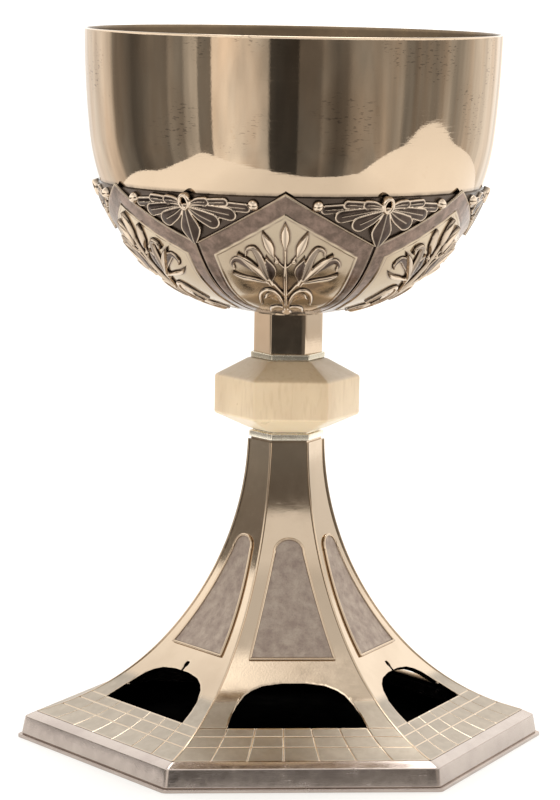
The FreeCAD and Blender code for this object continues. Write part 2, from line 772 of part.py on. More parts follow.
stem_tube = hex_ring("upper_stem", cell("stem_corner"), cell("stem_bottom"), cell("stem_top"),
                     inner_corner=cell("stem_corner") - cell("stem_wall"))
turn_about_axis(stem_tube, cell("stem_turn"))
upper = hex_ring("upper_collar", cell("upper_collar_corner"), cell("upper_collar_bottom"),
                 cell("stem_bottom"), bore_radius=running_bore)
turn_about_axis(upper, cell("upper_collar_turn"))
knop_parts = [knop(), knop_sleeve()]
for piece in knop_parts:
    turn_about_axis(piece, cell("knop_turn"))
lower = lower_collar()
turn_about_axis(lower, cell("lower_collar_turn"))

plain_panel = foot_panel("plain_panel", with_slot=False)
slotted_panel = foot_panel("slotted_panel", with_slot=True)
foot_parts = ring_of_six([plain_panel, slotted_panel], "foot_panel", 0.0)
foot_parts += ring_of_six(etched_plate(), "etched_plate", 0.0)
foot_parts += ring_of_six(panel_frame(), "panel_frame", 0.0)
foot_parts += ring_of_six(ridge_wire(), "ridge_wire", 30.0)
foot_parts += [base_moulding(), base_plate()]
foot_parts.append(hex_ring("base_flange", cell("flange_corner"), ZERO, cell("flange_height"),
                           inner_corner=cell("flange_inner_corner")))
foot_parts.append(hex_ring("neck_cap", cell("cap_corner"), cell("neck_height"),
                           cell("lower_collar_bottom"), bore_radius=running_bore))
clamp_parts = [clamp_washer(), hex_ring("clamp_nut", cell("nut_corner"), nut_bottom, washer_bottom,
                                        bore_radius=running_bore)]

doc.recompute()

# ---------------------------------------------------------------- checks and export
for item in doc.Objects:
    if "Invalid" in item.State or "Error" in item.State:
        raise RuntimeError("%s failed: %s" % (item.Name, item.State))

for piece in cup_parts + [stem_tube, upper] + knop_parts + [lower] + foot_parts + clamp_parts:
    shape = piece.Shape
    if shape.isNull() or not shape.isValid() or shape.Volume <= 0:
        raise RuntimeError("%s has no valid shape" % piece.Label)
    shape.exportStep("parts/%s.step" % piece.Label)
    print("%-16s %d solid %9.1f mm3" % (piece.Label, len(shape.Solids), shape.Volume))
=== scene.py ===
from math import atan2, cos, degrees, pi, radians, sin

import bpy
import numpy as np
from mathutils import Matrix, Vector


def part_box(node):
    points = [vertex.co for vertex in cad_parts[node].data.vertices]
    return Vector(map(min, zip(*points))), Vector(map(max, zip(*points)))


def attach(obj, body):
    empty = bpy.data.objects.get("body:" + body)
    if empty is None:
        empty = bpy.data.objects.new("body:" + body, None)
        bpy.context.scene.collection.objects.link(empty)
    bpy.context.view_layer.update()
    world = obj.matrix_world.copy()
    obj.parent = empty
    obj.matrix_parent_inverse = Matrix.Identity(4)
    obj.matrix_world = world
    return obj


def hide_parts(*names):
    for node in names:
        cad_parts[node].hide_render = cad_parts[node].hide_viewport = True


# Looks of the communion chalice. Lengths are millimetres until a mesh is written, angles degrees.
# A chart is a surface that ornament lies on: it places a point from its run across, its run along
# the profile and its height above the surface.

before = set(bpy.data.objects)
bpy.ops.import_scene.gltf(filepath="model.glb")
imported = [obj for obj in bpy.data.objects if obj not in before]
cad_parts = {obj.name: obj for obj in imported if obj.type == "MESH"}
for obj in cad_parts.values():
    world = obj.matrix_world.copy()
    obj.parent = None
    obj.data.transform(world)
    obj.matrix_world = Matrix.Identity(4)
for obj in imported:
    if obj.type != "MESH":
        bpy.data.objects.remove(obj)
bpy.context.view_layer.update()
MM = 0.001


# ---- sizes read from the frame
def points_of(node):
    """A CAD node's vertices, in millimetres."""
    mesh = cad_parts[node].data
    flat = np.zeros(len(mesh.vertices) * 3)
    mesh.vertices.foreach_get("co", flat)
    return flat.reshape(-1, 3) / MM


def span(node):
    """Lowest and highest level of a CAD node."""
    low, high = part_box(node)
    return low.z / MM, high.z / MM


def reach(node):
    """Greatest distance of a CAD node from the axis."""
    return float(np.hypot(*points_of(node)[:, :2].T).max())


def facing(node):
    """Direction in which a CAD node lies from the axis: 0 is -Y, and it grows towards +X."""
    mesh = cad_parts[node].data
    areas = np.zeros(len(mesh.polygons))
    centres = np.zeros(len(mesh.polygons) * 3)
    mesh.polygons.foreach_get("area", areas)
    mesh.polygons.foreach_get("center", centres)
    middle = areas @ centres.reshape(-1, 3)
    return degrees(atan2(middle[0], -middle[1]))


def corner_turn(node):
    """How far a hexagonal CAD node is turned about the axis, from corners on the X axis."""
    points = points_of(node)
    radius = np.hypot(points[:, 0], points[:, 1])
    farthest = points[radius > radius.max() - 0.01][0]
    turn = degrees(atan2(farthest[1], farthest[0])) % 60
    return turn - 60 if turn > 30 else turn


TAN30 = np.tan(radians(30))
COS30 = cos(radians(30))
CUP_BOTTOM, RIM_Z = span("cup_bowl")
RIM_R = reach("cup_bowl")
SKIN_TOP = span("calyx_skin")[1]
SKIN_WALL = CUP_BOTTOM - span("calyx_skin")[0]
PETAL_PEAK = span("calyx_petal_1")[1]
NECK_Z = span("foot_panel_1")[1]
TILE_APOTHEM = -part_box("foot_panel_1")[0].y / MM
SIX = range(1, 7)

# ---- profiles
CUP_WALL = 0.9
RIM_LEAN = 0.86
CUP_ARCS = ((277.0, 5.3), (55.9, 32.7), (34.8, 29.4), (63.3, 20.0))
NECK_CORNER = 9.43
FACE_UPRIGHT = 77.7
FACE_ARCS = ((84.05, 37.76), (56.2, 40.0))
RIDGE_UPRIGHT = 78.73
RIDGE_ARCS = ((77.68, 42.99), (65.69, 40.0))
KNOP_BELT = (83.75, 93.45)
STEP = 0.1
RIDGE_SHORT = 0.3


class Profile:
    """A line in the plane of the axis, sampled by its own length, with its outward normal."""

    def __init__(self, out, up, normal_out, normal_up):
        run = np.hypot(np.diff(out), np.diff(up))
        self.along = np.concatenate([[0], np.cumsum(run)])
        self.length = self.along[-1]
        self.out, self.up = out, up
        self.normal_out, self.normal_up = normal_out, normal_up

    def at(self, along, height=0.0):
        """Distance from the axis and level, at a height above the surface."""
        out = np.interp(along, self.along, self.out)
        up = np.interp(along, self.along, self.up)
        normal_out = np.interp(along, self.along, self.normal_out)
        normal_up = np.interp(along, self.along, self.normal_up)
        return out + height * normal_out, up + height * normal_up

    def where(self, level, height=0.0):
        """The length along at which the surface, raised by height, passes a level."""
        up = self.up + height * self.normal_up
        order = np.argsort(up)
        return np.interp(level, up[order], self.along[order])


def arc_chain(centre_out, centre_up, side, turn, arcs):
    """Arcs that follow one another without a kink, swelling outwards (side 1) or hollow (side -1)."""
    out, up, turns = [], [], []
    before = arcs[0][0]
    for radius, sweep in arcs:
        centre_out += side * (before - radius) * cos(radians(turn))
        centre_up -= (before - radius) * sin(radians(turn))
        steps = np.linspace(turn, turn + sweep, max(8, int(radius * radians(sweep) / STEP)))
        out.append(centre_out + side * radius * np.cos(np.radians(steps)))
        up.append(centre_up - radius * np.sin(np.radians(steps)))
        turns.append(steps)
        turn += sweep
        before = radius
    return np.concatenate(out), np.concatenate(up), np.radians(np.concatenate(turns))


def cup_profile():
    """From the bottom of the cup up to the rim."""
    radius, lean = CUP_ARCS[0][0], radians(RIM_LEAN)
    out, up, leans = arc_chain(RIM_R - radius * cos(lean), RIM_Z + radius * sin(lean), 1, RIM_LEAN, CUP_ARCS)
    keep = (up >= CUP_BOTTOM) & np.concatenate([[True], np.diff(up) < -1e-9])
    return Profile(*(line[keep][::-1] for line in (out, up, np.cos(leans), -np.sin(leans))))


def hollow_profile(top, upright, arcs, end):
    """A concave foot line from its low end up to the neck."""
    (radius, sweep), *others = arcs
    turn = degrees(np.arcsin((upright - NECK_Z) / radius))
    out, up, turns = arc_chain(top + radius * cos(radians(turn)), upright, -1, turn,
                               [(radius, sweep - turn)] + others)
    keep = (out <= end) & np.concatenate([[True], np.diff(out) > 1e-9])
    return Profile(*(line[keep][::-1] for line in (out, up, np.cos(turns), np.sin(turns))))


CUP = cup_profile()
FACE = hollow_profile(NECK_CORNER * COS30, FACE_UPRIGHT, FACE_ARCS, TILE_APOTHEM)
RIDGE = hollow_profile(NECK_CORNER, RIDGE_UPRIGHT, RIDGE_ARCS, TILE_APOTHEM / COS30 - RIDGE_SHORT)


def turned(points, angle):
    """Points in millimetres, turned about the axis."""
    c, s = cos(radians(angle)), sin(radians(angle))
    x, y, z = points[..., 0], points[..., 1], points[..., 2]
    return np.stack([c * x - s * y, s * x + c * y, z], -1)


def on_cup(theta, along, height):
    """A point on the cup: theta degrees from the piece's middle."""
    out, up = CUP.at(along, height)
    bearing = np.radians(theta)
    return np.stack([out * np.sin(bearing), -out * np.cos(bearing), up + 0 * out], -1)


def on_face(across, along, height):
    """A point on a flat-sided foot face, across millimetres from its middle."""
    out, up = FACE.at(along, height)
    return np.stack([across + 0 * out, -out, up], -1)


# ---- meshes
def cells(grid):
    """The four corners of each cell of a grid."""
    return np.stack([grid[:-1, :-1], grid[:-1, 1:], grid[1:, 1:], grid[1:, :-1]], -1)


def make_object(name, points, faces, values=None, sharp=50.0):
    """A smooth-shaded mesh object from millimetre points, with float values on its points."""
    mesh = bpy.data.meshes.new(name)
    points = np.asarray(points, float)
    groups = [np.asarray(group, np.int32) for group in (faces if isinstance(faces, list) else [faces])]
    volume = 0.0
    for group in groups:
        for k in range(1, group.shape[1] - 1):
            a, b, c = points[group[:, 0]], points[group[:, k]], points[group[:, k + 1]]
            volume += (a * np.cross(b, c)).sum()
    if volume < 0:
        groups = [group[:, ::-1] for group in groups]
    corners = np.concatenate([group.ravel() for group in groups])
    sizes = np.concatenate([np.full(len(group), group.shape[1]) for group in groups])
    mesh.vertices.add(len(points))
    mesh.vertices.foreach_set("co", (points * MM).ravel())
    mesh.loops.add(corners.size)
    mesh.loops.foreach_set("vertex_index", corners)
    mesh.polygons.add(len(sizes))
    starts = np.concatenate([[0], np.cumsum(sizes)[:-1]])
    mesh.polygons.foreach_set("loop_start", starts.astype(np.int32))
    mesh.polygons.foreach_set("use_smooth", np.ones(len(sizes), bool))
    mesh.update(calc_edges=True)
    mesh.validate()
    for word, numbers in (values or {}).items():
        layer = mesh.attributes.new(word, "FLOAT", "POINT")
        layer.data.foreach_set("value", np.asarray(numbers, np.float32).ravel())
    mesh.set_sharp_from_angle(angle=radians(sharp))
    thing = bpy.data.objects.new(name, mesh)
    bpy.context.scene.collection.objects.link(thing)
    return thing


def sheet_solid(front, back, values=None, keep=None):
    """Points, faces and values of a plate: a grid of front points and the same grid at the back."""
    rows, columns = front.shape[:2]
    if keep is None:
        keep = np.ones((rows - 1, columns - 1), bool)
    count = rows * columns
    index = np.arange(count).reshape(rows, columns)
    quads = cells(index)[keep]
    padded = np.zeros((rows + 1, columns + 1), bool)
    padded[1:-1, 1:-1] = keep
    walls = []
    for before, after, first, second in (
            (padded[:-1, 1:-1], padded[1:, 1:-1], index[:, 1:], index[:, :-1]),
            (padded[1:-1, :-1], padded[1:-1, 1:], index[:-1, :], index[1:, :])):
        for border, a, b in ((after & ~before, first, second), (before & ~after, second, first)):
            a, b = a[border], b[border]
            walls.append(np.stack([a, b, b + count, a + count], -1))
    faces = np.concatenate([quads, quads[:, ::-1] + count] + walls)
    points = np.concatenate([front.reshape(-1, 3), back.reshape(-1, 3)])
    used, faces = np.unique(faces, return_inverse=True)
    chosen = {word: np.tile(np.ravel(grid), 2)[used] for word, grid in (values or {}).items()}
    # inside marks a plate's back points, which the silver materials paint near black as painted shade.
    chosen["inside"] = (used >= count).astype(float)
    return points[used], faces.reshape(-1, 4), chosen


def ring_skin(loops):
    """Points and faces of a closed skin over rings of equal point count."""
    index = np.arange(loops.shape[0] * loops.shape[1]).reshape(loops.shape[:2])
    index = np.concatenate([index, index[:1]])
    index = np.concatenate([index, index[:, :1]], 1)
    return loops.reshape(-1, 3), cells(index).reshape(-1, 4)


def curve(start, corner, end):
    """Five points of a small curve that cuts off a corner."""
    t = np.linspace(0, 1, 5)[:, None]
    return (1 - t) ** 2 * start + 2 * t * (1 - t) * corner + t * t * end


def rounded_outline(points, radius):
    """A closed outline in the plane of the axis, with each corner turned into a small arc."""
    points = [np.array(p, float) for p in points]
    made = []
    for i, corner in enumerate(points):
        before, after = points[i - 1], points[(i + 1) % len(points)]
        to_before, to_after = before - corner, after - corner
        gap = min(np.linalg.norm(to_before), np.linalg.norm(to_after))
        cut = min(radius, gap * 0.45)
        start = corner + to_before / np.linalg.norm(to_before) * cut
        end = corner + to_after / np.linalg.norm(to_after) * cut
        made.append(curve(start, corner, end))
    return np.concatenate(made)


def hexagon_loop(corner, level, rounding, turn, flat_steps):
    """A level hexagon with rounded corners, its points starting at the corner near +X."""
    cut = min(rounding, corner * 0.3) * TAN30
    bearings = np.radians(60 * np.arange(6))
    corners = np.stack([np.cos(bearings), np.sin(bearings)], -1) * corner
    loop = []
    for side, here in enumerate(corners):
        before, after = corners[side - 1], corners[(side + 1) % 6]
        end = here + (after - here) / corner * cut
        leave = after + (here - after) / corner * cut
        t = np.linspace(0, 1, flat_steps + 1)[1:-1, None]
        loop += [curve(here + (before - here) / corner * cut, here, end), end + (leave - end) * t]
    loop = np.concatenate(loop)
    return turned(np.concatenate([loop, np.full((len(loop), 1), level)], 1), turn)


def hex_solid(name, outline, turn, edge, rounding, flat_steps=8):
    """A hexagonal piece: an outline of (corner radius, level) carried round the axis."""
    loops = [hexagon_loop(r, z, rounding, turn, flat_steps) for r, z in rounded_outline(outline, edge)]
    return make_object(name, *ring_skin(np.array(loops)[::-1]))


# ---- ornament on a flat chart
def smooth_line(points, per_span, closed=False):
    """A Catmull-Rom line through given points."""
    points = np.array(points, float)
    count = len(points)
    if closed:
        ring = np.concatenate([points[-1:], points, points[:2]])
    else:
        ring = np.concatenate([2 * points[:1] - points[1:2], points, 2 * points[-1:] - points[-2:-1]])
    spans = count if closed else count - 1
    made = []
    for i in range(spans):
        p0, p1, p2, p3 = ring[i:i + 4]
        for t in np.arange(per_span) / per_span:
            made.append(0.5 * (2 * p1 + (p2 - p0) * t + (2 * p0 - 5 * p1 + 4 * p2 - p3) * t ** 2
                               + (3 * p1 - p0 - 3 * p2 + p3) * t ** 3))
    if not closed:
        made.append(points[-1])
    return np.array(made)


def line_distance(x, y, line):
    """Distance of grid points from a line of points, and where along it, 0 to 1, they are nearest."""
    best = np.full(x.shape, 1e9)
    place = np.zeros(x.shape)
    spans = len(line) - 1
    for i in range(spans):
        (x0, y0), (x1, y1) = line[i], line[i + 1]
        dx, dy = x1 - x0, y1 - y0
        size = max(dx * dx + dy * dy, 1e-12)
        t = np.clip(((x - x0) * dx + (y - y0) * dy) / size, 0, 1)
        gap = np.hypot(x - x0 - t * dx, y - y0 - t * dy)
        nearer = gap < best
        best = np.where(nearer, gap, best)
        place = np.where(nearer, (i + t) / spans, place)
    return best, place


def inside_distance(x, y, outline):
    """Distance from a closed outline, positive inside."""
    ring = np.concatenate([outline, outline[:1]])
    gap, _ = line_distance(x, y, ring)
    inside = np.zeros(x.shape, bool)
    for (x0, y0), (x1, y1) in zip(ring[:-1], ring[1:]):
        if y0 == y1:
            continue
        crosses = (y0 > y) != (y1 > y)
        inside ^= crosses & (x < x0 + (y - y0) * (x1 - x0) / (y1 - y0))
    return np.where(inside, gap, -gap)


def bump(x, middle, width):
    return np.exp(-((x - middle) / width) ** 2)


def smoothstep(x, low, high):
    t = np.clip((x - low) / (high - low), 0, 1)
    return t * t * (3 - 2 * t)


def edge_round(distance, radius):
    """Drop of a surface near its edge, as a quarter round."""
    inset = np.clip(radius - distance, 0, radius)
    return radius - np.sqrt(np.maximum(radius ** 2 - inset ** 2, 0))


def snapped(x, y, gap, slope_x, slope_y, least, within):
    """Grid points less than within outside an edge, moved onto it. gap is the distance outside."""
    size = np.maximum(slope_x ** 2 + slope_y ** 2, least)
    move = np.where((gap > 0) & (gap < within), gap, 0) / size
    return x - move * slope_x, y - move * slope_y


def lathe(name, outline, around, values=None):
    """Turn an outline (radius, level) that starts and ends on the axis into a closed solid."""
    bearings = np.linspace(0, 2 * pi, around, endpoint=False)
    ring = outline[1:-1]
    loops = np.stack([ring[:, :1] * np.cos(bearings), ring[:, :1] * np.sin(bearings),
                      ring[:, 1:] + 0 * bearings], -1)
    low = len(ring) * around
    index = np.arange(low).reshape(-1, around)
    index = np.concatenate([index, index[:, :1]], 1)
    start, end = index[0], index[-1]
    fan_low = np.stack([np.full(around, low), start[1:], start[:-1]], -1)
    fan_high = np.stack([np.full(around, low + 1), end[:-1], end[1:]], -1)
    points = np.concatenate([loops.reshape(-1, 3), [[0, 0, outline[0][1]], [0, 0, outline[-1][1]]]])
    spread = {word: np.concatenate([np.repeat(line[1:-1], around), [line[0], line[-1]]])
              for word, line in (values or {}).items()}
    return make_object(name, points, [cells(index).reshape(-1, 4), fan_low, fan_high], spread)


def cup_point(x, y, height):
    """A point on the cup: x millimetres across from the piece's middle, y along the profile."""
    out, _ = CUP.at(y)
    return on_cup(np.degrees(x / out), y, height)


def cup_marks(marks, height):
    """Turn marks (degrees, level) on the cup into chart millimetres."""
    marks = np.array(marks, float)
    y = CUP.where(marks[:, 1], height)
    return np.stack([np.radians(marks[:, 0]) * CUP.at(y)[0], y], -1)


class Relief:
    """Raised ornament drawn as strokes: each is a line, half widths along it, and a section."""

    def __init__(self, base, shade, lift, painted=False):
        self.base, self.shade, self.lift, self.painted = base, shade, lift, painted
        self.strokes, self.limits = [], []

    def stroke(self, marks, widths, level, crown, dish=0.0, vein=0.0, closed=False):
        line = smooth_line(cup_marks(marks, self.base), 8, closed)
        if closed:
            line = np.concatenate([line, line[:1]])
        spaced = np.stack([np.linspace(0, 1, len(widths)), widths], -1)
        self.strokes.append((line, smooth_line(spaced, 8)[:, 1], level, crown, dish, vein))

    def evaluate(self, x, y):
        """Distance inside the ornament, its height and how dark it is painted."""
        across = np.abs(x)
        inside = np.full(x.shape, -9.0)
        height = np.zeros(x.shape)
        hollow = np.zeros(x.shape)
        for line, widths, level, crown, dish, vein in self.strokes:
            gap, place = line_distance(across, y, line)
            half = np.maximum(np.interp(place, np.linspace(0, 1, len(widths)), widths), 0.05)
            part = np.clip(gap / half, 0, 1)
            middle = 1 - smoothstep(gap, half - 0.42, half - 0.14)
            round_top = 0.5 * (1 - part ** 2) + 0.5 * np.sqrt(1 - part ** 2)
            body = self.lift * level + crown * round_top - dish * middle
            body = body - vein * np.exp(-(gap / 0.13) ** 2)
            here = half - gap
            higher = (here > -0.02) if self.painted else (body > height) & (here > -0.02)
            height = np.where(higher, body, height)
            # How dark a point is painted: dished middles partly as dark patina and partly as painted shade,
            # creases as painted shade; a raised vein is painted lighter along its crest.
            tone = np.maximum(min(dish / 0.22, 1.0) * middle, vein / 0.2 * bump(gap, 0, 0.15))
            tone = np.where(vein < 0, tone * (1 - 0.8 * bump(gap, 0, 0.1)), tone)
            # The foot of each stroke is painted with shade.
            tone = np.maximum(tone, self.shade * (1 - smoothstep(here, 0.0, 0.2)))
            hollow = np.where(higher, tone, hollow)
            inside = np.maximum(inside, here)
        for limit in self.limits:
            inside = np.minimum(inside, limit(x, y))
        return inside, height, np.clip(hollow, 0, 1)

    def sheet(self, xs, ys, sink=0.04):
        """The relief as a closed sheet whose edge follows the strokes."""
        x, y = np.meshgrid(xs, ys)
        step_x, step_y = xs[1] - xs[0], ys[1] - ys[0]
        inside, _, _ = self.evaluate(x, y)
        keep = cells(inside).max(-1) > 0.3 * step_x
        slope_y, slope_x = np.gradient(-inside, step_y, step_x)
        x, y = snapped(x, y, -inside, slope_x, slope_y, 0.2, 1.6 * step_x)
        inside, height, hollow = self.evaluate(x, y)
        front = cup_point(x, y, self.base + np.maximum(height, 0.1))
        back = cup_point(x, y, self.base - sink + 0 * height)
        return sheet_solid(front, back, {"hollow": hollow}, keep)


def copies(prefix, node_prefix, sheet, slot, body, material, sharp=60.0, beside=None, numbers=SIX):
    """Copies of a sheet, each turned to where its CAD node, or the one beside it, stands."""
    points, faces, values = sheet
    for number in numbers:
        angle = facing("%s_%d" % (beside or node_prefix, number))
        piece = make_object("%s_%d" % (prefix, number), turned(points, angle), faces, values, sharp)
        dress(piece, material, slot, body, "%s_%d" % (node_prefix, number))


def dress(piece, material, slot, body, *nodes):
    """Give a piece its material, its body and the CAD nodes that it stands in for."""
    piece.data.materials.append(material)
    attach(piece, body)
    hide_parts(*nodes)


# ---- materials
class Shader:
    """A node material built a line at a time."""

    def __init__(self, name, tree=None):
        self.material = None
        if tree is None:
            self.material = bpy.data.materials.new(name)
            self.material.use_nodes = True
            tree = self.material.node_tree
        tree.nodes.clear()
        self.tree = tree

    def add(self, kind, inputs=None, **settings):
        node = self.tree.nodes.new(kind)
        for word, value in settings.items():
            setattr(node, word, value)
        for word, value in (inputs or {}).items():
            self.feed(node.inputs[word], value)
        return node

    def feed(self, socket, value):
        if isinstance(value, bpy.types.NodeSocket):
            self.tree.links.new(value, socket)
        else:
            socket.default_value = value

    def place(self, scale=(1, 1, 1)):
        """The point in millimetres, stretched by a scale."""
        coordinates = self.add("ShaderNodeTexCoord").outputs["Object"]
        factor = tuple(each / MM for each in scale)
        return self.add("ShaderNodeMapping", {"Vector": coordinates, "Scale": factor}).outputs[0]

    def noise(self, size, detail=4.0, stretch=(1, 1, 1), roughness=0.5):
        """Noise with features of about the given size in millimetres."""
        scale = tuple(each / size for each in stretch)
        node = self.add("ShaderNodeTexNoise", {"Vector": self.place(scale), "Scale": 1.0,
                                               "Detail": detail, "Roughness": roughness})
        return node.outputs["Fac"]

    def value(self, word):
        """A number stored on the mesh."""
        return self.add("ShaderNodeAttribute", attribute_name=word).outputs["Fac"]

    def ramp(self, factor, low, high, start=0.0, end=1.0):
        """Map a range of a number onto another."""
        node = self.add("ShaderNodeMapRange", {"Value": factor, "From Min": low, "From Max": high,
                                               "To Min": start, "To Max": end})
        return node.outputs["Result"]

    def math(self, operation, first, second=0.0):
        node = self.add("ShaderNodeMath", operation=operation)
        self.feed(node.inputs[0], first)
        self.feed(node.inputs[1], second)
        return node.outputs[0]

    def times(self, first, second):
        return self.math("MULTIPLY", first, second)

    def plus(self, first, second):
        return self.math("ADD", first, second)

    def axis(self, word):
        """One coordinate of the point, in millimetres."""
        return self.add("ShaderNodeSeparateXYZ", {"Vector": self.place()}).outputs[word]

    def blend(self, factor, first, second):
        """Blend two numbers."""
        return self.add("ShaderNodeMix", {"Factor": factor, "A": first, "B": second}).outputs[0]

    def mix(self, factor, first, second):
        """Blend two colours."""
        node = self.add("ShaderNodeMix", data_type="RGBA")
        self.feed(node.inputs["Factor"], factor)
        for socket, colour in ((node.inputs[6], first), (node.inputs[7], second)):
            self.feed(socket, colour if isinstance(colour, bpy.types.NodeSocket) else (*colour, 1))
        return node.outputs[2]

    def bumped(self, height, distance, before=None):
        """A normal bumped by a height field, with the bump's full depth in millimetres."""
        node = self.add("ShaderNodeBump", {"Strength": 1.0, "Distance": distance * MM, "Height": height})
        if before is not None:
            self.feed(node.inputs["Normal"], before)
        return node.outputs[0]

    def finish(self, **inputs):
        """Close the material with one Principled shader."""
        shader = self.add("ShaderNodeBsdfPrincipled")
        for word, value in inputs.items():
            self.feed(shader.inputs[word.replace("_", " ")], value)
        return self.close(shader.outputs[0])

    def close(self, surface, kind="ShaderNodeOutputMaterial"):
        self.feed(self.add(kind).inputs["Surface"], surface)
        return self.material


SILVER = (0.56, 0.44, 0.32)
TARNISH = (0.36, 0.26, 0.17)
OXIDE = (0.10, 0.075, 0.06)
GILT = (0.20, 0.145, 0.09)


def scratches(shader, size, length):
    """Fine scratches in two directions, about size wide and length long."""
    level = shader.noise(size, 3.0, (size / length, size / length, 1.0))
    slanted = shader.noise(size, 2.0, (1.0, 1.0, size / length))
    return shader.math("MAXIMUM", shader.ramp(level, 0.60, 0.72), shader.ramp(slanted, 0.66, 0.76, 0.0, 0.5))


def silver(name, colour=SILVER, dull=TARNISH, rough=(0.05, 0.14), stain=0.25, pits=0.004, dark=None,
           dark_colour=OXIDE, dark_rough=0.35, mottle=1.0):
    """Polished or satin silver. dark names a mesh value that turns it to a darker colour, mottled if asked:
    oxide, a matte field and painted shade, as each mesh sets them.
    """
    shader = Shader(name)
    cloud = shader.noise(14.0, 5.0)
    smear = shader.noise(3.0, 6.0, roughness=0.65)
    marks = scratches(shader, 0.35, 9.0)
    tint = shader.mix(shader.ramp(cloud, 0.45, 0.75, 0.0, stain), colour, dull)
    roughness = shader.ramp(smear, 0.3, 0.7, *rough)
    roughness = shader.plus(roughness, shader.times(marks, 0.05))
    normal = shader.bumped(shader.noise(0.5, 6.0), pits)
    normal = shader.bumped(marks, 0.0008, normal)
    if dark is not None:
        within = shader.value("inside")
        amount = shader.value(dark)
        paler = tuple(mottle * each for each in dark_colour)
        patches = shader.ramp(shader.noise(4.0, 7.0, roughness=0.7), 0.42, 0.62)
        patchy = shader.mix(patches, dark_colour, paler)
        tint = shader.mix(amount, tint, patchy)
        # The back of a plate, and its walls towards the back, are painted near black: painted shade.
        tint = shader.mix(within, tint, (0.012, 0.01, 0.009))
        roughness = shader.plus(roughness, shader.times(amount, dark_rough))
    return shader.finish(Base_Color=tint, Metallic=1.0, Roughness=roughness, Normal=normal)


def bowl_material():
    """Polished outside with fine scratches round it, and worn gilding inside."""
    shader = Shader("bowl_silver")
    cloud = shader.noise(16.0, 5.0)
    haze = shader.noise(5.0, 7.0, roughness=0.7)
    marks = scratches(shader, 0.3, 14.0)
    dashes = shader.ramp(shader.noise(0.55, 2.0, (0.35, 0.35, 1.4)), 0.6, 0.66)
    dashes = shader.times(dashes, shader.ramp(cloud, 0.5, 0.58))
    outside = shader.mix(shader.ramp(cloud, 0.45, 0.8, 0.0, 0.22), SILVER, TARNISH)
    outside = shader.mix(shader.ramp(haze, 0.62, 0.8, 0.0, 0.4), outside, (0.42, 0.27, 0.15))
    level = shader.axis("Z")
    dashes = shader.times(dashes, shader.ramp(level, SKIN_TOP + 8.0, SKIN_TOP + 13.0))
    outside = shader.mix(shader.times(dashes, 0.5), outside, (0.12, 0.09, 0.07))
    # Painted shadow: a dark band on the cup just above the calyx's edge, broken up by the haze.
    calyx_edge_shadow = shader.ramp(level, SKIN_TOP + 1.3, SKIN_TOP + 0.1)
    calyx_edge_shadow = shader.times(calyx_edge_shadow, shader.ramp(haze, 0.3, 0.55, 0.3, 1.0))
    outside = shader.mix(calyx_edge_shadow, outside, (0.10, 0.075, 0.06))
    inside = shader.value("inside")
    tint = shader.mix(inside, outside, shader.mix(shader.ramp(haze, 0.35, 0.65, 0.0, 0.4), GILT, OXIDE))
    roughness = shader.ramp(haze, 0.3, 0.75, 0.02, 0.06)
    roughness = shader.plus(roughness, shader.times(inside, 0.25))
    roughness = shader.plus(roughness, shader.times(marks, 0.06))
    normal = shader.bumped(shader.noise(24.0, 2.0), 0.02)
    normal = shader.bumped(shader.noise(2.5, 4.0, (1.0, 1.0, 0.4)), 0.002, normal)
    normal = shader.bumped(shader.noise(0.6, 6.0), 0.0025, normal)
    normal = shader.bumped(marks, 0.0008, normal)
    return shader.finish(Base_Color=tint, Metallic=1.0, Roughness=roughness, Normal=normal)


def ivory_material():
    """Old ivory: creamy, with fine grain and a soft polish, painted darker on top as painted shade and paler
    underneath as painted light.
    """
    shader = Shader("old_ivory")
    grain = shader.noise(0.5, 4.0, (0.5, 0.5, 0.10))
    broad = shader.noise(9.0, 4.0, (1.0, 1.0, 0.5))
    colour = shader.mix(shader.ramp(broad, 0.35, 0.7), (0.66, 0.52, 0.345), (0.56, 0.42, 0.265))
    colour = shader.mix(shader.ramp(grain, 0.5, 0.7, 0.0, 0.3), colour, (0.44, 0.30, 0.17))
    level = shader.axis("Z")
    # Painted shade and light: the top is painted darker for the cup's shadow on it, and the underside paler
    # for light thrown up from the floor.
    colour = shader.mix(shader.ramp(level, KNOP_BELT[1] - 0.3, KNOP_BELT[1] + 0.6, 0.0, 0.36), colour,
                        (0.20, 0.145, 0.09))
    colour = shader.mix(shader.ramp(level, KNOP_BELT[0] + 0.6, KNOP_BELT[0] - 0.3, 0.0, 0.8), colour,
                        (0.96, 0.80, 0.55))
    normal = shader.bumped(grain, 0.01)
    return shader.finish(Base_Color=colour, Roughness=shader.ramp(broad, 0.3, 0.7, 0.26, 0.4),
                         Normal=normal, IOR=1.54, Subsurface_Weight=0.12,
                         Subsurface_Radius=(0.004, 0.002, 0.001), Subsurface_Scale=0.5)


def etched_material():
    """Etched silver plate: matte, mottled and mauve-grey."""
    shader = Shader("etched_plate_silver")
    fine = shader.noise(0.35, 5.0, roughness=0.7)
    broad = shader.noise(2.5, 5.0, roughness=0.65)
    colour = shader.mix(shader.ramp(broad, 0.35, 0.68), (0.40, 0.33, 0.27), (0.30, 0.235, 0.20))
    colour = shader.mix(shader.ramp(fine, 0.5, 0.75, 0.0, 0.5), colour, (0.17, 0.125, 0.105))
    normal = shader.bumped(fine, 0.03)
    normal = shader.bumped(broad, 0.06, normal)
    return shader.finish(Base_Color=colour, Metallic=1.0, Roughness=shader.ramp(broad, 0.3, 0.7, 0.42, 0.6),
                         Normal=normal)


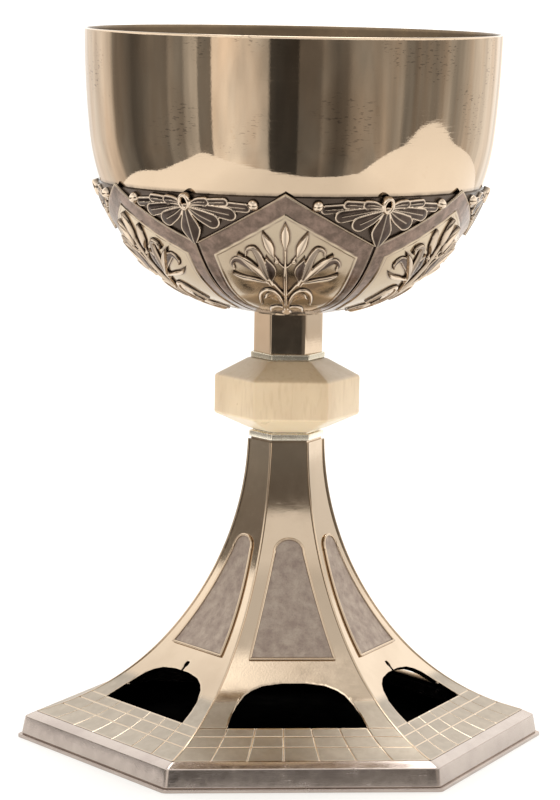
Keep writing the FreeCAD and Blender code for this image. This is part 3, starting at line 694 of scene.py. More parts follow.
def brass_material():
    shader = Shader("turned_brass")
    rings = shader.noise(0.4, 4.0, (0.3, 0.3, 3.0))
    broad = shader.noise(4.0, 5.0)
    colour = shader.mix(shader.ramp(broad, 0.4, 0.7), (0.66, 0.42, 0.15), (0.38, 0.22, 0.08))
    normal = shader.bumped(rings, 0.01)
    return shader.finish(Base_Color=colour, Metallic=1.0, Roughness=shader.ramp(rings, 0.3, 0.7, 0.22, 0.42),
                         Normal=normal)


def black_material():
    shader = Shader("blackened_plate")
    broad = shader.noise(6.0, 6.0, roughness=0.7)
    colour = shader.mix(shader.ramp(broad, 0.4, 0.75), (0.0008, 0.0008, 0.0008), (0.003, 0.0027, 0.0024))
    normal = shader.bumped(shader.noise(0.5, 5.0), 0.02)
    return shader.finish(Base_Color=colour, Roughness=shader.ramp(broad, 0.3, 0.7, 0.5, 0.75),
                         Specular_IOR_Level=0.0, Normal=normal)


POLISHED = silver("polished_silver")
SATIN = silver("satin_silver", colour=(0.60, 0.55, 0.44), rough=(0.2, 0.3), stain=0.2, pits=0.001)
# A lighter copy of satin silver for the lower collar: painted light, making up for the knop's shadow on it.
SATIN_PAINTED_LIGHT = silver("satin_silver_painted_light", colour=(0.86, 0.8, 0.67), rough=(0.2, 0.3), stain=0.2, pits=0.001)
PETAL = silver("petal_silver", colour=(0.50, 0.41, 0.30), rough=(0.1, 0.22), stain=0.5, dark="dark",
               dark_colour=(0.10, 0.068, 0.056), dark_rough=0.06, mottle=2.3)
# hollow is the relief's painted darkness: partly dark patina in its hollows and partly painted shade.
LEAF = silver("leaf_silver", colour=(0.64, 0.52, 0.40), rough=(0.05, 0.13), dark="hollow",
              dark_colour=(0.075, 0.055, 0.045), dark_rough=0.15, pits=0.008, mottle=2.0)
PALM = silver("palmette_silver", colour=(0.66, 0.54, 0.42), rough=(0.05, 0.15), dark="hollow",
              dark_colour=(0.05, 0.036, 0.029), pits=0.012, dark_rough=0.15, mottle=1.7)
SHADE = silver("oxidised_silver", colour=(0.09, 0.068, 0.054), dull=(0.03, 0.023, 0.018), rough=(0.18, 0.32),
               stain=0.9, pits=0.02)
FOOT = silver("foot_silver", colour=(0.56, 0.45, 0.335), rough=(0.06, 0.15), dark="dark",
              dark_colour=(0.36, 0.31, 0.25), dark_rough=0.3, mottle=1.15)
BASE = silver("base_silver", colour=(0.50, 0.43, 0.385), dull=(0.36, 0.30, 0.27), rough=(0.14, 0.28),
              stain=0.6)
BOWL = bowl_material()
IVORY = ivory_material()
ETCHED = etched_material()
BRASS = brass_material()
BLACK = black_material()

# ---- cup
LIP_ROUND = 0.3
rise = np.linspace(0, CUP.where(RIM_Z - LIP_ROUND), 155)
outer = np.stack(CUP.at(rise), -1)
inner = np.stack(CUP.at(rise, -CUP_WALL), -1)[::-1]
LIP_STEPS = 6
rim_turn = np.radians(np.linspace(0, 90, LIP_STEPS))
lip_out = np.stack([outer[-1][0] - LIP_ROUND + LIP_ROUND * np.cos(rim_turn),
                    RIM_Z - LIP_ROUND + LIP_ROUND * np.sin(rim_turn)], -1)
lip_in = np.stack([inner[0][0] + LIP_ROUND - LIP_ROUND * np.sin(rim_turn),
                   RIM_Z - LIP_ROUND + LIP_ROUND * np.cos(rim_turn)], -1)
outline = np.concatenate([[[0, CUP_BOTTOM]], outer, lip_out[1:], lip_in[:-1], inner, [[0, inner[-1][1]]]])
gilded = np.concatenate([np.zeros(len(outer) + LIP_STEPS), np.ones(len(inner) + LIP_STEPS)])
bowl = lathe("bowl", outline, 300, {"inside": gilded})
dress(bowl, BOWL, "polished_silver", "cup", "cup_bowl")

skin_run = np.linspace(0, CUP.where(SKIN_TOP, SKIN_WALL), 120)
skin_out = np.stack(CUP.at(skin_run, SKIN_WALL), -1)
skin_in = np.stack(CUP.at(skin_run, 0.01), -1)[::-1]
skin_outline = np.concatenate([[[0, skin_out[0][1]]], skin_out, skin_in, [[0, skin_in[-1][1]]]])
skin = lathe("calyx_under_skin", skin_outline, 288)
dress(skin, SHADE, "oxidised_silver", "cup", "calyx_skin")

# ---- calyx petals
PETAL_BASE = SKIN_WALL
PETAL_WALL = 0.7
PETAL_FACE = SKIN_WALL + PETAL_WALL
PETAL_HALF = 29.5
PETAL_VALLEY_Z, PETAL_VALLEY_HALF = 130.0, 21.5
PETAL_ROOT = 9.2


def gable_run(theta, height):
    """Length along the cup at which a petal's gable edge lies."""
    slope = (PETAL_PEAK - PETAL_VALLEY_Z) / PETAL_VALLEY_HALF
    level = np.full(np.shape(theta), PETAL_VALLEY_Z)
    for _ in range(30):
        out, _ = CUP.at(CUP.where(level, height), height)
        level = PETAL_PEAK - slope * out * np.abs(np.sin(np.radians(theta)))
    return CUP.where(level, height)


# Strokes of the lily spray on each petal: marks are degrees across and levels.
lily = Relief(PETAL_FACE, 0.6, 0.5)
lily.stroke([(0.9, 113.6), (2.4, 116.2), (5, 118.1), (8, 118.5), (10.8, 117.3), (12.3, 115.4), (12.5, 114.3)],
            (0.3, 0.45, 0.5, 0.5, 0.45, 0.35, 0.12), 0.3, 0.5)
lily.stroke([(2.2, 114.8), (5.5, 116.8), (9.6, 116.0)], (0.35, 1.7, 0.4), 0.1, 0.3, vein=0.1)
lily.stroke([(0.8, 112.4), (4, 113.4), (8, 113.1), (11.5, 111.8)], (0.45, 0.8, 0.7, 0.15), 0.2, 0.5,
            vein=0.08)
lily.stroke([(6.4, 120.7), (12, 121.2), (16, 121.7), (19.5, 122.9)], (0.3, 0.65, 0.6, 0.1), 0.2, 0.7)
lily.stroke([(8, 122.2), (13, 124.7), (16.6, 126.2), (18.6, 125.2), (18.2, 123.9)],
            (0.4, 0.9, 0.85, 0.55, 0.2), 0.2, 0.6, dish=0.22)
lily.stroke([(6.6, 121.3), (11, 124.4), (13.6, 126.3), (15.9, 127.8)], (0.35, 0.9, 0.7, 0.1), 0.5, 0.8,
            vein=0.1)
lily.stroke([(6, 121), (7.6, 124.2), (8.6, 127.0), (10.2, 129.2), (12.4, 129.0), (13.0, 127.6)],
            (0.4, 0.95, 0.9, 0.7, 0.45, 0.2), 0.4, 0.8, dish=0.15)
lily.stroke([(5.6, 121.0), (5.4, 123.8), (6.4, 127.2)], (0.5, 1.45, 0.1), 0.45, 0.7, dish=0.22)
lily.stroke([(5.5, 120.3), (6.3, 121.5)], (0.7, 0.8), 0.5, 0.7)
lily.stroke([(0.4, 117.3), (2.6, 118.7), (4.4, 120.0), (5.6, 120.5)], (0.25, 0.3, 0.38, 0.5), 0.3, 0.5)
lily.stroke([(0.5, 124.6), (1.8, 125.4), (2.9, 126.6), (4.2, 128.0)], (0.2, 0.24, 0.24, 0.3), 0.15, 0.35)
lily.stroke([(3.9, 127.5), (4.9, 129.4), (5.9, 131.4), (6.9, 133.5)], (0.3, 1.1, 0.95, 0.1), 0.3, 0.85,
            vein=0.12)
lily.stroke([(2.85, 126.1), (2.9, 126.12)], (0.6, 0.6), 0.35, 0.7)
lily.stroke([(0, 129.4), (0, 131.4), (0, 133.6), (0, 135.8)], (0.35, 1.05, 1.0, 0.1), 0.3, 0.9, vein=0.12)
lily.stroke([(0, 111.6), (0, 114), (0.2, 121), (0, 126), (0, 130.2)], (1.2, 0.5, 0.36, 0.32, 0.36), 0.25, 0.7)


def petal_sheet():
    even = np.linspace(-PETAL_HALF, PETAL_HALF, 171)
    near_edge = PETAL_HALF - np.array([0.1, 0.25, 0.45, 0.7, 1.0])
    thetas = np.unique(np.concatenate([even, near_edge, -near_edge]))
    root_out = CUP.out + PETAL_BASE * CUP.normal_out
    low = np.interp(PETAL_ROOT, root_out, CUP.along)
    top = gable_run(thetas, PETAL_FACE)
    steps = np.concatenate([np.linspace(0, 0.9, 130), np.linspace(0.9, 1, 34)[1:]])
    theta = thetas[None, :] + 0 * steps[:, None]
    y = low + (top[None, :] - low) * steps[:, None]
    x = np.radians(theta) * CUP.at(y)[0]
    slope = np.gradient(top, np.radians(thetas) * CUP.at(top)[0])
    edge = (top[None, :] - y) * np.cos(np.arctan(slope))[None, :]
    side = np.radians(PETAL_HALF - np.abs(theta)) * CUP.at(y)[0]
    panel = cup_marks([(-19, 111.6), (19, 111.6), (23.5, 113.5), (24.4, 118), (24.5, 126.9), (0, 137.6),
                       (-24.5, 126.9), (-24.4, 118), (-23.5, 113.5)], PETAL_FACE)
    inside = inside_distance(x, y, panel)
    height = np.full(x.shape, PETAL_FACE - 0.12)
    outline = bump(inside, 0.1, 0.2)
    rim = 1 - smoothstep(edge, 0.28, 0.55)
    height += 0.15 * outline + 0.12 * rim - 0.1 * bump(inside, -0.4, 0.25)
    height += 0.03 * smoothstep(inside, 0.5, 2.5)
    notch = np.exp(-((np.abs(theta) - 6.5) / 0.7) ** 2) * np.exp(-(edge / 1.0) ** 2)
    height += 0.12 * notch
    height -= edge_round(edge, 0.22) + edge_round(side, 0.3) * (1 - rim)
    height -= 0.10 * bump(side, 2.1, 1.2) * smoothstep(edge, 1.0, 3.0)
    band = smoothstep(-inside, 0.1, 0.3) * smoothstep(edge, 0.3, 0.5)
    # The border band is real oxide; near the side seams it is painted lighter as painted highlight.
    band *= 0.75 + 0.25 * smoothstep(side, 0.1, 0.8)
    # Painted round the lily's strokes on the panel: partly dark patina and partly painted shade.
    halo, _, _ = lily.evaluate(x, y)
    halo = 0.7 * smoothstep(halo, -0.5, -0.02)
    # Dark lines just beside the raised panel outline and below the gable rim: painted shadow.
    line = np.maximum(0.55 * bump(inside, 0.5, 0.14), 0.6 * bump(edge, 0.62, 0.12))
    # The gable rim is painted darker everywhere but near the apex: painted shade.
    gable_rim_shade = 0.45 * (1 - smoothstep(edge, 0.25, 0.45)) * (1 - bump(theta, 0, 1.2))
    dark = np.clip(np.maximum(np.maximum(0.9 * band, halo), line) + gable_rim_shade, 0, 1)
    front = on_cup(theta, y, height)
    back = on_cup(theta, y, np.full(x.shape, PETAL_BASE + 0.01))
    return sheet_solid(front, back, {"dark": dark})


copies("petal", "calyx_petal", petal_sheet(), "polished_silver", "cup", PETAL)

# ---- lily sprays
CELL = 0.15
lily_top = CUP.where(136.0, PETAL_FACE)
lily_low = CUP.where(111.4, PETAL_FACE)
lily_half = radians(20.5) * CUP.at(CUP.where(123.0, 0.0))[0]
lily_sheet = lily.sheet(np.arange(-lily_half, lily_half, CELL), np.arange(lily_low, lily_top, CELL))
copies("lily", "lily_spray", lily_sheet, "polished_silver", "cup", LEAF, beside="calyx_petal")

# ---- palmettes
palm = Relief(SKIN_WALL, 0.0, 1.0, painted=True)
palm.stroke([(2, 139.7), (10, 139.6), (18.4, 139.2)], (0.35, 1.15, 1.2), 0.45, 0.4, dish=0.25, vein=-0.15)
palm.stroke([(2, 140.0), (7, 140.3), (12.2, 140.5)], (0.4, 0.95, 1.05), 0.6, 0.4, dish=0.25, vein=-0.15)
palm.stroke([(1.8, 139.3), (7, 138.6), (13.4, 137.7)], (0.45, 1.35, 1.75), 0.7, 0.45, dish=0.25, vein=-0.15)
palm.stroke([(1.5, 139.9), (4, 140.4), (6.4, 140.5)], (0.45, 0.95, 1.1), 0.85, 0.4, dish=0.25, vein=-0.15)
palm.stroke([(1.2, 138.9), (4, 137.4), (7.7, 136.0)], (0.5, 1.5, 2.05), 1.0, 0.45, dish=0.25, vein=-0.15)
palm.stroke([(0, 139.4), (0, 137.0), (0, 135.2), (0, 133.8), (0, 132.5), (0, 131.3), (0, 130.2)],
            (0.7, 1.5, 2.3, 2.6, 2.1, 1.3, 0.5), 1.1, 0.5, dish=0.25, vein=-0.18)
palm.stroke([(20.7, 140.0), (20.8, 140.02)], (1.3, 1.3), 0.5, 1.3)
palm.stroke([(1.45, 140.4), (1.0, 141.5), (0, 142.0), (-1.0, 141.5), (-1.45, 140.4), (-1.0, 139.3),
             (0, 138.8), (1.0, 139.3)], (0.5, 0.5), 1.2, 0.6, closed=True)


def clear_of_petals(x, y):
    """Distance from the edge of the petal on either side."""
    out, _ = CUP.at(y)
    beyond = 30 - np.abs(np.degrees(x / out))
    edge = gable_run(np.linspace(0, 30, 61), PETAL_FACE)
    return (y - np.interp(np.clip(beyond, 0, 30), np.linspace(0, 30, 61), edge)) * 0.86 - 0.05


palm.limits.append(clear_of_petals)
palm_top = CUP.where(142.4, SKIN_WALL)
palm_low = CUP.where(129.8, SKIN_WALL)
palm_half = radians(23.5) * CUP.at(CUP.where(140.0, 0.0))[0]
palm_sheet = palm.sheet(np.arange(-palm_half, palm_half, CELL), np.arange(palm_low, palm_top, CELL), 0.03)
copies("palmette_leaf", "palmette", palm_sheet, "oxidised_silver", "cup", PALM)

# ---- stem
stem_low, stem_high = span("upper_stem")
collar_low, collar_high = span("upper_collar")
knop_low, knop_high = span("knop")
lower_low, lower_high = span("lower_collar")
COLLAR_STEP = 79.4
BORE = 3.05

STEM_WALL = 0.9
SLEEVE = 4.6
KNOP_LOW_CORNER, KNOP_HIGH_CORNER = 9.5, 10.0
NECK_CORNER_R = 8.65


def hex_piece(name, node, inner, outer, edge, rounding, material, slot):
    """A stem piece on the body of its own name: outer runs upwards, and inner is the bore's corner."""
    outline = [(inner, outer[0][1])] + outer + [(inner, outer[-1][1])]
    dress(hex_solid(name, outline, corner_turn(node), edge, rounding), material, slot, node, node)


stem_r = reach("upper_stem")
hex_piece("stem_tube", "upper_stem", stem_r - STEM_WALL, [(stem_r, stem_low), (stem_r, stem_high)],
          0.1, 0.35, POLISHED, "polished_silver")
collar_r = reach("upper_collar")
hex_piece("collar_above", "upper_collar", BORE / COS30, [(collar_r, collar_low), (collar_r, collar_high)],
          0.28, 0.5, SATIN, "satin_silver")
knop_r = reach("knop")
hex_piece("ivory_knop", "knop", SLEEVE / COS30,
          [(KNOP_LOW_CORNER, knop_low), (knop_r, KNOP_BELT[0]), (knop_r, KNOP_BELT[1]),
           (KNOP_HIGH_CORNER, knop_high)], 0.55, 0.9, IVORY, "ivory")
lower_r = reach("lower_collar")
hex_piece("collar_under", "lower_collar", BORE / COS30,
          [(lower_r, lower_low), (lower_r, COLLAR_STEP), (NECK_CORNER_R, COLLAR_STEP),
           (NECK_CORNER_R, lower_high)], 0.22, 0.5, SATIN_PAINTED_LIGHT, "satin_silver")

# ---- foot panels
WALL = 1.2
MITRE = 0.3
LINE_SHARES = (1 / 7, 3 / 7, 5 / 7)
LINE_LEVELS = (8.8, 10.5, 12.0)
LINE_HALF = 0.22
FIELD_TOP = 17.2
WINDOW = [(17.2, 12.0), (16.0, 14.2), (14.4, 16.2), (12.4, 18.1), (10.4, 19.2), (7.6, 20.1), (3.0, 20.6)]
SLOT = [(0.42, 20.2), (0.4, 21.4), (0.82, 21.9), (0.58, 22.7)]


def face_half(y):
    """Half width of a foot panel at a length along its profile, up to the mitre."""
    out, _ = FACE.at(y)
    return (out - 2 * MITRE) * TAN30


def opening(marks):
    """An opening's outline on the face, from the marks (across, level) on its right side."""
    marks = np.array(marks + [(-x, level) for x, level in marks[::-1]])
    return np.stack([marks[:, 0], FACE.where(marks[:, 1])], -1)


def in_line(distance):
    """1 within a bright line and 0 beyond it."""
    return 1 - smoothstep(distance, LINE_HALF * 0.55, LINE_HALF * 1.2)


def panel_sheet(with_slot):
    """A panel with its window cut out, bright lines cut into a matte field, and a polished top."""
    beside_line = np.array([-1.6, -1.0, -0.55, 0.0, 0.55, 1.0, 1.6]) * LINE_HALF
    near = beside_line / face_half(0.0)
    shares = np.concatenate([np.linspace(-1, 1, 171), [-0.997, 0.997]]
                            + [sign * share + near for share in LINE_SHARES for sign in (-1, 1)])
    shares = np.unique(np.round(shares[np.abs(shares) <= 1], 5))
    runs = FACE.where(np.array(LINE_LEVELS[:2]))
    rows = [np.arange(0, FACE.where(23.5), 0.3), np.linspace(FACE.where(23.5), FACE.length, 90)]
    rows += [run + beside_line for run in runs]
    rows = np.unique(np.round(np.concatenate(rows), 4))
    y = rows[:, None] + 0 * shares[None, :]
    x = shares[None, :] * face_half(y)
    window, slot = opening(WINDOW), opening(SLOT)

    def cut(x, y):
        deep = inside_distance(x, y, window)
        return np.maximum(deep, inside_distance(x, y, slot)) if with_slot else deep

    near_cut = rows < FACE.where(24.0)
    hole = np.full(x.shape, -9.0)
    hole[near_cut] = cut(x[near_cut], y[near_cut])
    step = 0.36
    keep = cells(hole).min(-1) < -0.3 * step
    slope_y = np.gradient(hole, rows, axis=0)
    slope_x = np.gradient(hole, axis=1) / np.maximum(np.gradient(x, axis=1), 1e-6)
    x, y = snapped(x, y, hole, slope_x, slope_y, 0.3, 1.6 * step)
    hole[near_cut] = cut(x[near_cut], y[near_cut])
    level = FACE.at(y)[1]
    share = x / face_half(y)
    half = face_half(y)
    groove = np.zeros(x.shape)
    side_on = 1 - smoothstep(level, 17.5, 18.5)
    for line in LINE_SHARES:
        on = side_on if line > 0.7 else (level < LINE_LEVELS[2])
        groove = np.maximum(groove, on * in_line(np.abs(np.abs(share) - line) * half))
    for mark in LINE_LEVELS[:2]:
        groove = np.maximum(groove, in_line(np.abs(y - FACE.where(mark))))
    rim = 1 - smoothstep(-hole, 0.25, 0.5)
    beside = in_line(np.abs(y - FACE.where(LINE_LEVELS[2])))
    groove = np.maximum(groove, beside * (np.abs(x) > 17.0))
    field = 1 - smoothstep(level, FIELD_TOP - 1.2, FIELD_TOP + 0.8)
    dark = np.clip(field - groove - rim, 0, 1) * (1 - 0.9 * (1 - smoothstep(y, 0.15, 0.4)))
    height = -0.10 * groove * field - 0.05 * (1 - smoothstep(-hole, 0.0, 0.22))
    front = on_face(x, y, height)
    back = on_face(x, y, np.full(x.shape, -WALL))
    return sheet_solid(front, back, {"dark": dark}, keep)


for with_slot, numbers in ((False, (1, 3, 5)), (True, (2, 4, 6))):
    copies("foot_face", "foot_panel", panel_sheet(with_slot), "polished_silver", "foot", FOOT, 40.0,
           numbers=numbers)

# ---- etched plates and their frames
PLATE_LOW, PLATE_SPRING, PLATE_TOP = 26.0, 50.0, 53.0
PLATE_HALF, PLATE_NARROW = 10.1, 3.3
PLATE_WALL = 0.25
FRAME_WIRE = 0.7
FRAME_HEIGHT = 0.6


def plate_half(level, margin=0.0):
    """Half width of the arch at a level, widened by a margin."""
    share = (level - PLATE_LOW) / (PLATE_SPRING - PLATE_LOW)
    straight = PLATE_HALF + (PLATE_NARROW - PLATE_HALF) * share
    sag = -0.28 * 4 * share * (1 - share)
    side = straight + sag + margin
    top = np.clip((level - PLATE_SPRING) / (PLATE_TOP + margin - PLATE_SPRING), 0, 1)
    arch = (PLATE_NARROW + margin) * np.sqrt(np.maximum(1 - top ** 2.2, 0))
    return np.where(level <= PLATE_SPRING, side, arch)


def plate_sheet():
    levels = np.concatenate([np.linspace(PLATE_LOW, PLATE_SPRING, 110),
                             PLATE_SPRING + (PLATE_TOP - PLATE_SPRING) * np.sin(np.linspace(0.02, 1.55, 24))])
    shares = np.linspace(-1, 1, 41)
    y = FACE.where(levels)[:, None] + 0 * shares[None, :]
    half = np.maximum(plate_half(levels), 0.05)
    x = half[:, None] * shares[None, :]
    edge = half[:, None] * (1 - np.abs(shares[None, :]))
    waves = np.sin(1.9 * x + 0.7 * y) * np.sin(1.3 * y - 0.8 * x)
    height = PLATE_WALL + 0.03 * waves * smoothstep(edge, 0.2, 1)
    front = on_face(x, y, height)
    back = on_face(x, y, np.full(x.shape, 0.01))
    return sheet_solid(front, back)


def frame_points():
    """Section loops of a half-round wire that runs round the arch."""
    middle = FRAME_WIRE / 2
    levels = np.concatenate([np.linspace(PLATE_LOW - middle, PLATE_SPRING, 90),
                             PLATE_SPRING + (PLATE_TOP + middle - PLATE_SPRING)
                             * np.sin(np.linspace(0.05, pi / 2, 22))])
    right = np.stack([plate_half(levels, middle), FACE.where(levels)], -1)
    left = right[::-1][1:] * np.array([-1, 1])
    sill = np.linspace(left[-1], right[0], 40)[1:-1]
    path = np.concatenate([right, left, sill])
    along = np.roll(path, -1, 0) - np.roll(path, 1, 0)
    along /= np.linalg.norm(along, axis=1, keepdims=True)
    outward = np.stack([along[:, 1], -along[:, 0]], -1)
    turns = np.linspace(0, 2 * pi, 14, endpoint=False)
    aside = middle * np.cos(turns)
    high = np.maximum(FRAME_HEIGHT * 0.5 + FRAME_HEIGHT * 0.5 * np.sin(turns), 0.0)
    x = path[:, :1] + outward[:, :1] * aside
    y = path[:, 1:] + outward[:, 1:] * aside
    return on_face(x, y, high + 0 * x)


copies("etched_panel", "etched_plate", plate_sheet(), "etched_silver", "foot", ETCHED)
frame_skin = ring_skin(frame_points()[::-1])
copies("frame_wire", "panel_frame", (*frame_skin, {}), "polished_silver", "foot", POLISHED, 50.0)

# ---- ridge wires
RIDGE_HALF = 0.3
RIDGE_DEPTH = 1.5


def ridge_sheet():
    """A beaded strip, proud near the neck and nearly flush by the tile field."""
    runs = np.linspace(0, RIDGE.length, 150)
    shares = np.linspace(-1, 1, 13)
    y = runs[:, None] + 0 * shares[None, :]
    x = RIDGE_HALF * np.sin(shares * pi / 2)[None, :] + 0 * y
    proud = 0.02 + 0.30 * smoothstep(runs, 8.0, 60.0)[:, None]
    height = proud * np.sqrt(np.maximum(1 - (x / RIDGE_HALF) ** 2, 0)) + 0.02 * (1 - np.abs(shares))
    sides = []
    for out, up in (RIDGE.at(y, height), RIDGE.at(y, -RIDGE_DEPTH)):
        sides.append(np.stack([x, -out, up], -1))
    return sheet_solid(*sides)


copies("ridge", "ridge_wire", ridge_sheet(), "polished_silver", "foot", POLISHED, 40.0)

# ---- base
fascia_low, fascia_high = span("base_moulding")
fascia_r = reach("base_moulding")
FASCIA_TOP = 5.48
FASCIA_WALL = 1.2
LEDGE = 4.5
FLANGE_INNER = 61.0
TILE_R = TILE_APOTHEM / COS30
moulding = hex_solid("moulding", [(fascia_r - FASCIA_WALL, fascia_low), (fascia_r - 0.12, fascia_low),
                                  (fascia_r, fascia_low + 0.3), (fascia_r - 0.85, FASCIA_TOP),
                                  (TILE_R, fascia_high), (TILE_R, LEDGE), (fascia_r - FASCIA_WALL, LEDGE)],
                     0.0, 0.22, 1.6, 24)
dress(moulding, BASE, "polished_silver", "foot", "base_moulding")
flange_low, flange_high = span("base_flange")
flange_r = reach("base_flange")
flange = hex_solid("flange", [(FLANGE_INNER, flange_low), (flange_r, flange_low), (flange_r, flange_high),
                              (FLANGE_INNER, flange_high)], 0.0, 0.2, 1.8, 24)
dress(flange, BASE, "polished_silver", "foot", "base_flange")

# ---- clamp, and CAD pieces carried over
carried = {"tie_rod": BRASS, "clamp_washer": BRASS, "clamp_nut": BRASS, "knop_sleeve": BRASS,
           "cup_seat": POLISHED, "neck_cap": POLISHED, "base_plate": BLACK}
for node, material in carried.items():
    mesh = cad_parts[node].data
    mesh.materials.clear()
    mesh.materials.append(material)

# ---- studio
H = RIM_Z * MM
FLOOR_HALF = 170 * H


def stage_plane(name, points, faces, material, seen=True):
    """A studio surface, which is not part of the chalice. An unseen one shows only in reflections."""
    mesh = bpy.data.meshes.new(name)
    mesh.from_pydata([tuple(p) for p in points], [], [tuple(f) for f in faces])
    for polygon in mesh.polygons:
        polygon.use_smooth = len(faces) > 1
    mesh.materials.append(material)
    thing = bpy.data.objects.new(name, mesh)
    bpy.context.scene.collection.objects.link(thing)
    thing.visible_camera = thing.visible_diffuse = thing.visible_shadow = seen
    return thing


# The floor glows, except under the foot, so that nothing shines up through the windows.
FOOT_SHADE = (44.0, 54.0)
ASIDE = (90.0, 230.0)
floor = Shader("pale_floor")
away = floor.add("ShaderNodeVectorMath", {0: floor.place()}, operation="LENGTH").outputs["Value"]
aside = floor.ramp(floor.math("ABSOLUTE", floor.axis("X")), *ASIDE, 1.0, 1.7)
tone = floor.mix(floor.noise(60.0, 4.0), (0.44, 0.433, 0.42), (0.46, 0.453, 0.44))
tone = floor.mix(floor.ramp(away, *FOOT_SHADE), (0.005, 0.005, 0.005), tone)
floor.finish(Base_Color=tone, Roughness=floor.ramp(floor.noise(25.0, 3.0), 0.3, 0.7, 0.5, 0.6),
             Specular_IOR_Level=0.1, Emission_Color=(1.0, 0.985, 0.96, 1),
             Emission_Strength=floor.times(floor.ramp(away, *FOOT_SHADE, 0.0, 0.5), aside))
stage_plane("floor", [(-FLOOR_HALF, -FLOOR_HALF, 0), (FLOOR_HALF, -FLOOR_HALF, 0),
                      (FLOOR_HALF, FLOOR_HALF, 0), (-FLOOR_HALF, FLOOR_HALF, 0)], [(0, 1, 2, 3)],
            floor.material)

# A round screen of cards stands about the chalice. Only the silver sees it. Its bearings run from
# the side on which the camera stands.
AZIMUTH, PITCH, YAW, ROLL = -5.55, 7.79, -0.12, 1.07
SCREEN_TOP = 1.07 * H
SCREEN_COUNT = 720
SCREEN_FEET = ((-180, 2.1), (-107, 2.26), (-80, 2.06), (-61, 2.34), (-50, 2.68), (-37, 2.24), (-22, 1.9),
               (0, 1.64), (18, 1.6), (33, 1.72), (42, 1.98), (59, 3.27), (68, 4.04), (77, 4.78), (90, 5.2),
               (110, 4.4), (180, 2.1))
CARDS = ((-180, 1.1), (-125, 1.0), (-116, 0.85), (-112, 0.34), (-103, 0.26), (-95, 0.13), (-88, 0.16),
         (-82, 0.26), (-70, 0.22), (-68, 0.36), (-60, 0.34), (-58, 0.6), (-51.5, 0.78), (-50.5, 0.33),
         (-43.5, 0.33), (-42.5, 1.4), (-34, 1.28), (-26, 1.12), (-18, 0.86), (-13, 0.68), (-11.5, 0.1),
         (-8, 0.065), (2.5, 0.06), (3.5, 0.18), (14, 0.19), (16, 0.3), (19, 0.22), (23, 0.15), (28, 0.19),
         (31, 0.36), (35, 0.44), (45, 0.46), (50, 0.54), (60, 0.44), (62, 0.29), (84, 0.31), (88, 0.4),
         (94, 0.66), (97, 0.5), (104, 0.45), (110, 0.75), (120, 1.05), (135, 1.2), (180, 1.25))


def by_bearing(table, bearing):
    return float(np.interp(bearing, [row[0] for row in table], [row[1] for row in table]))


SCREEN_FEET = smooth_line(SCREEN_FEET, 12)
screen_points, screen_faces, levels = [], [], []
for index in range(SCREEN_COUNT):
    bearing = -180 + 360 * index / SCREEN_COUNT
    turn = radians(bearing + AZIMUTH)
    foot_r = by_bearing(SCREEN_FEET, bearing)
    for height, away in ((0.0005, foot_r * H), (SCREEN_TOP, max(3.0, foot_r + 0.2) * H)):
        screen_points.append((away * sin(turn), -away * cos(turn), height))
        levels.append(by_bearing(CARDS, bearing))
    after = (index + 1) % SCREEN_COUNT
    screen_faces.append((2 * index, 2 * after, 2 * after + 1, 2 * index + 1))
cards = Shader("reflection_cards")
uneven = cards.ramp(cards.noise(90.0, 5.0, (1.0, 1.0, 0.3)), 0.3, 0.7, 0.78, 1.22)
card_tint = cards.mix(cards.ramp(cards.noise(140.0, 3.0, (1.0, 1.0, 0.4)), 0.4, 0.62),
                      (1.0, 0.975, 0.93), (1.0, 0.9, 0.8))
card_glow = cards.times(cards.value("level"), uneven)
cards.close(cards.add("ShaderNodeEmission", {"Color": card_tint, "Strength": card_glow}).outputs[0])
screen = stage_plane("reflection_screen", screen_points, screen_faces, cards.material, seen=False)
level_layer = screen.data.attributes.new("level", "FLOAT", "POINT")
level_layer.data.foreach_set("value", np.array(levels, np.float32))

world = bpy.data.worlds.new("soft_studio")
bpy.context.scene.world = world
world.use_nodes = True
sky = Shader("sky", world.node_tree)
direction = sky.add("ShaderNodeTexCoord").outputs["Generated"]
axes = sky.add("ShaderNodeSeparateXYZ", {"Vector": direction})
sideways = sky.math("ABSOLUTE", axes.outputs["X"])
front = sky.ramp(axes.outputs["Z"], 0.5, 0.6, 1.15, 0.9)
patch = sky.times(sky.ramp(sideways, 0.07, 0.1, 1.0, 0.0), sky.ramp(axes.outputs["Z"], 0.86, 0.9))
patch = sky.times(patch, sky.ramp(axes.outputs["Y"], -0.09, -0.06, 1.0, 0.0))
front = sky.plus(front, sky.times(patch, 1.6))
side = sky.ramp(axes.outputs["Z"], 0.4, 0.85, 1.7, 0.7)
behind = sky.ramp(axes.outputs["Z"], 0.6, 0.95, 1.5, 0.7)
ahead_or_behind = sky.blend(sky.ramp(axes.outputs["Y"], 0.0, 0.3), front, behind)
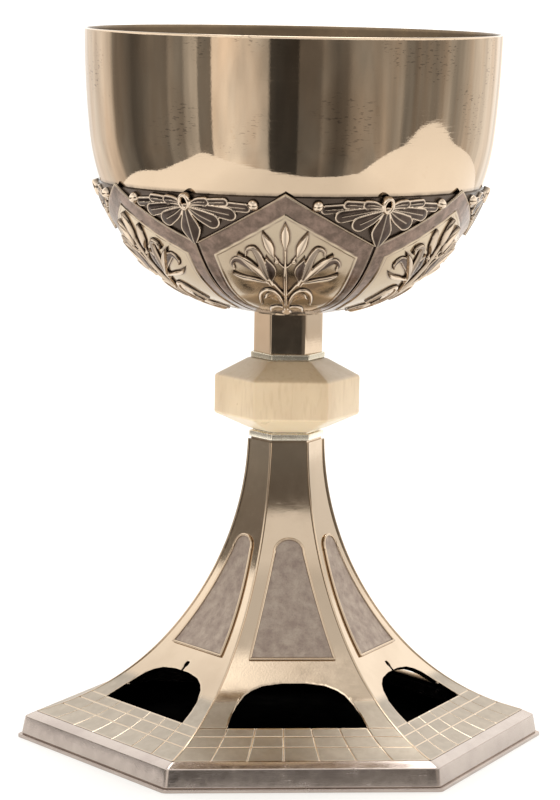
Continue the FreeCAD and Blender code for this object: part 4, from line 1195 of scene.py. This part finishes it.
strength = sky.blend(sky.ramp(sideways, 0.25, 0.6), ahead_or_behind, side)
background = sky.add("ShaderNodeBackground", {"Color": (1.0, 0.985, 0.96, 1), "Strength": strength})
sky.close(background.outputs[0], "ShaderNodeOutputWorld")


# One square lamp, high above and behind, faces the middle of the chalice.
lamp_data = bpy.data.lights.new("softbox_above", "AREA")
lamp_data.shape = "RECTANGLE"
lamp_data.size = lamp_data.size_y = 3.2 * H
lamp_data.energy = 5.0
lamp = bpy.data.objects.new("softbox_above", lamp_data)
bpy.context.scene.collection.objects.link(lamp)
lamp.location = (0.3 * H, 1.4 * H, 5.0 * H)
aim = Vector((0, 0, 0.5 * H)) - Vector((0.3 * H, 1.4 * H, 5.0 * H))
lamp.rotation_euler = aim.to_track_quat("-Z", "Y").to_euler()

# The camera stands as the photograph's did, by ratios of the chalice's height.
CAMERA_DISTANCE, CAMERA_LEVEL = 4.667 * H, 1.1215 * H
LENS, FILM = 150.67, 36.0
azimuth, pitch, yaw, roll = (radians(angle) for angle in (AZIMUTH, PITCH, YAW, ROLL))
ahead0 = Vector((-sin(azimuth), cos(azimuth), 0))
right0 = Vector((cos(azimuth), sin(azimuth), 0))
up0 = Vector((0, 0, 1))
ahead = cos(yaw) * ahead0 + sin(yaw) * right0
right = cos(yaw) * right0 - sin(yaw) * ahead0
look = cos(pitch) * ahead - sin(pitch) * up0
above = cos(pitch) * up0 + sin(pitch) * ahead
right, above = cos(roll) * right + sin(roll) * above, cos(roll) * above - sin(roll) * right
camera_data = bpy.data.cameras.new("camera")
camera_data.lens = LENS
camera_data.sensor_width = FILM
camera_data.sensor_fit = "AUTO"
camera = bpy.data.objects.new("camera", camera_data)
bpy.context.scene.collection.objects.link(camera)
camera_place = CAMERA_DISTANCE * Vector((sin(azimuth), -cos(azimuth), 0)) + CAMERA_LEVEL * up0
turn = Matrix((right, above, -look)).transposed().to_4x4()
camera.matrix_world = Matrix.Translation(camera_place) @ turn
bpy.context.scene.camera = camera
bpy.context.scene.view_settings.view_transform = "Standard"
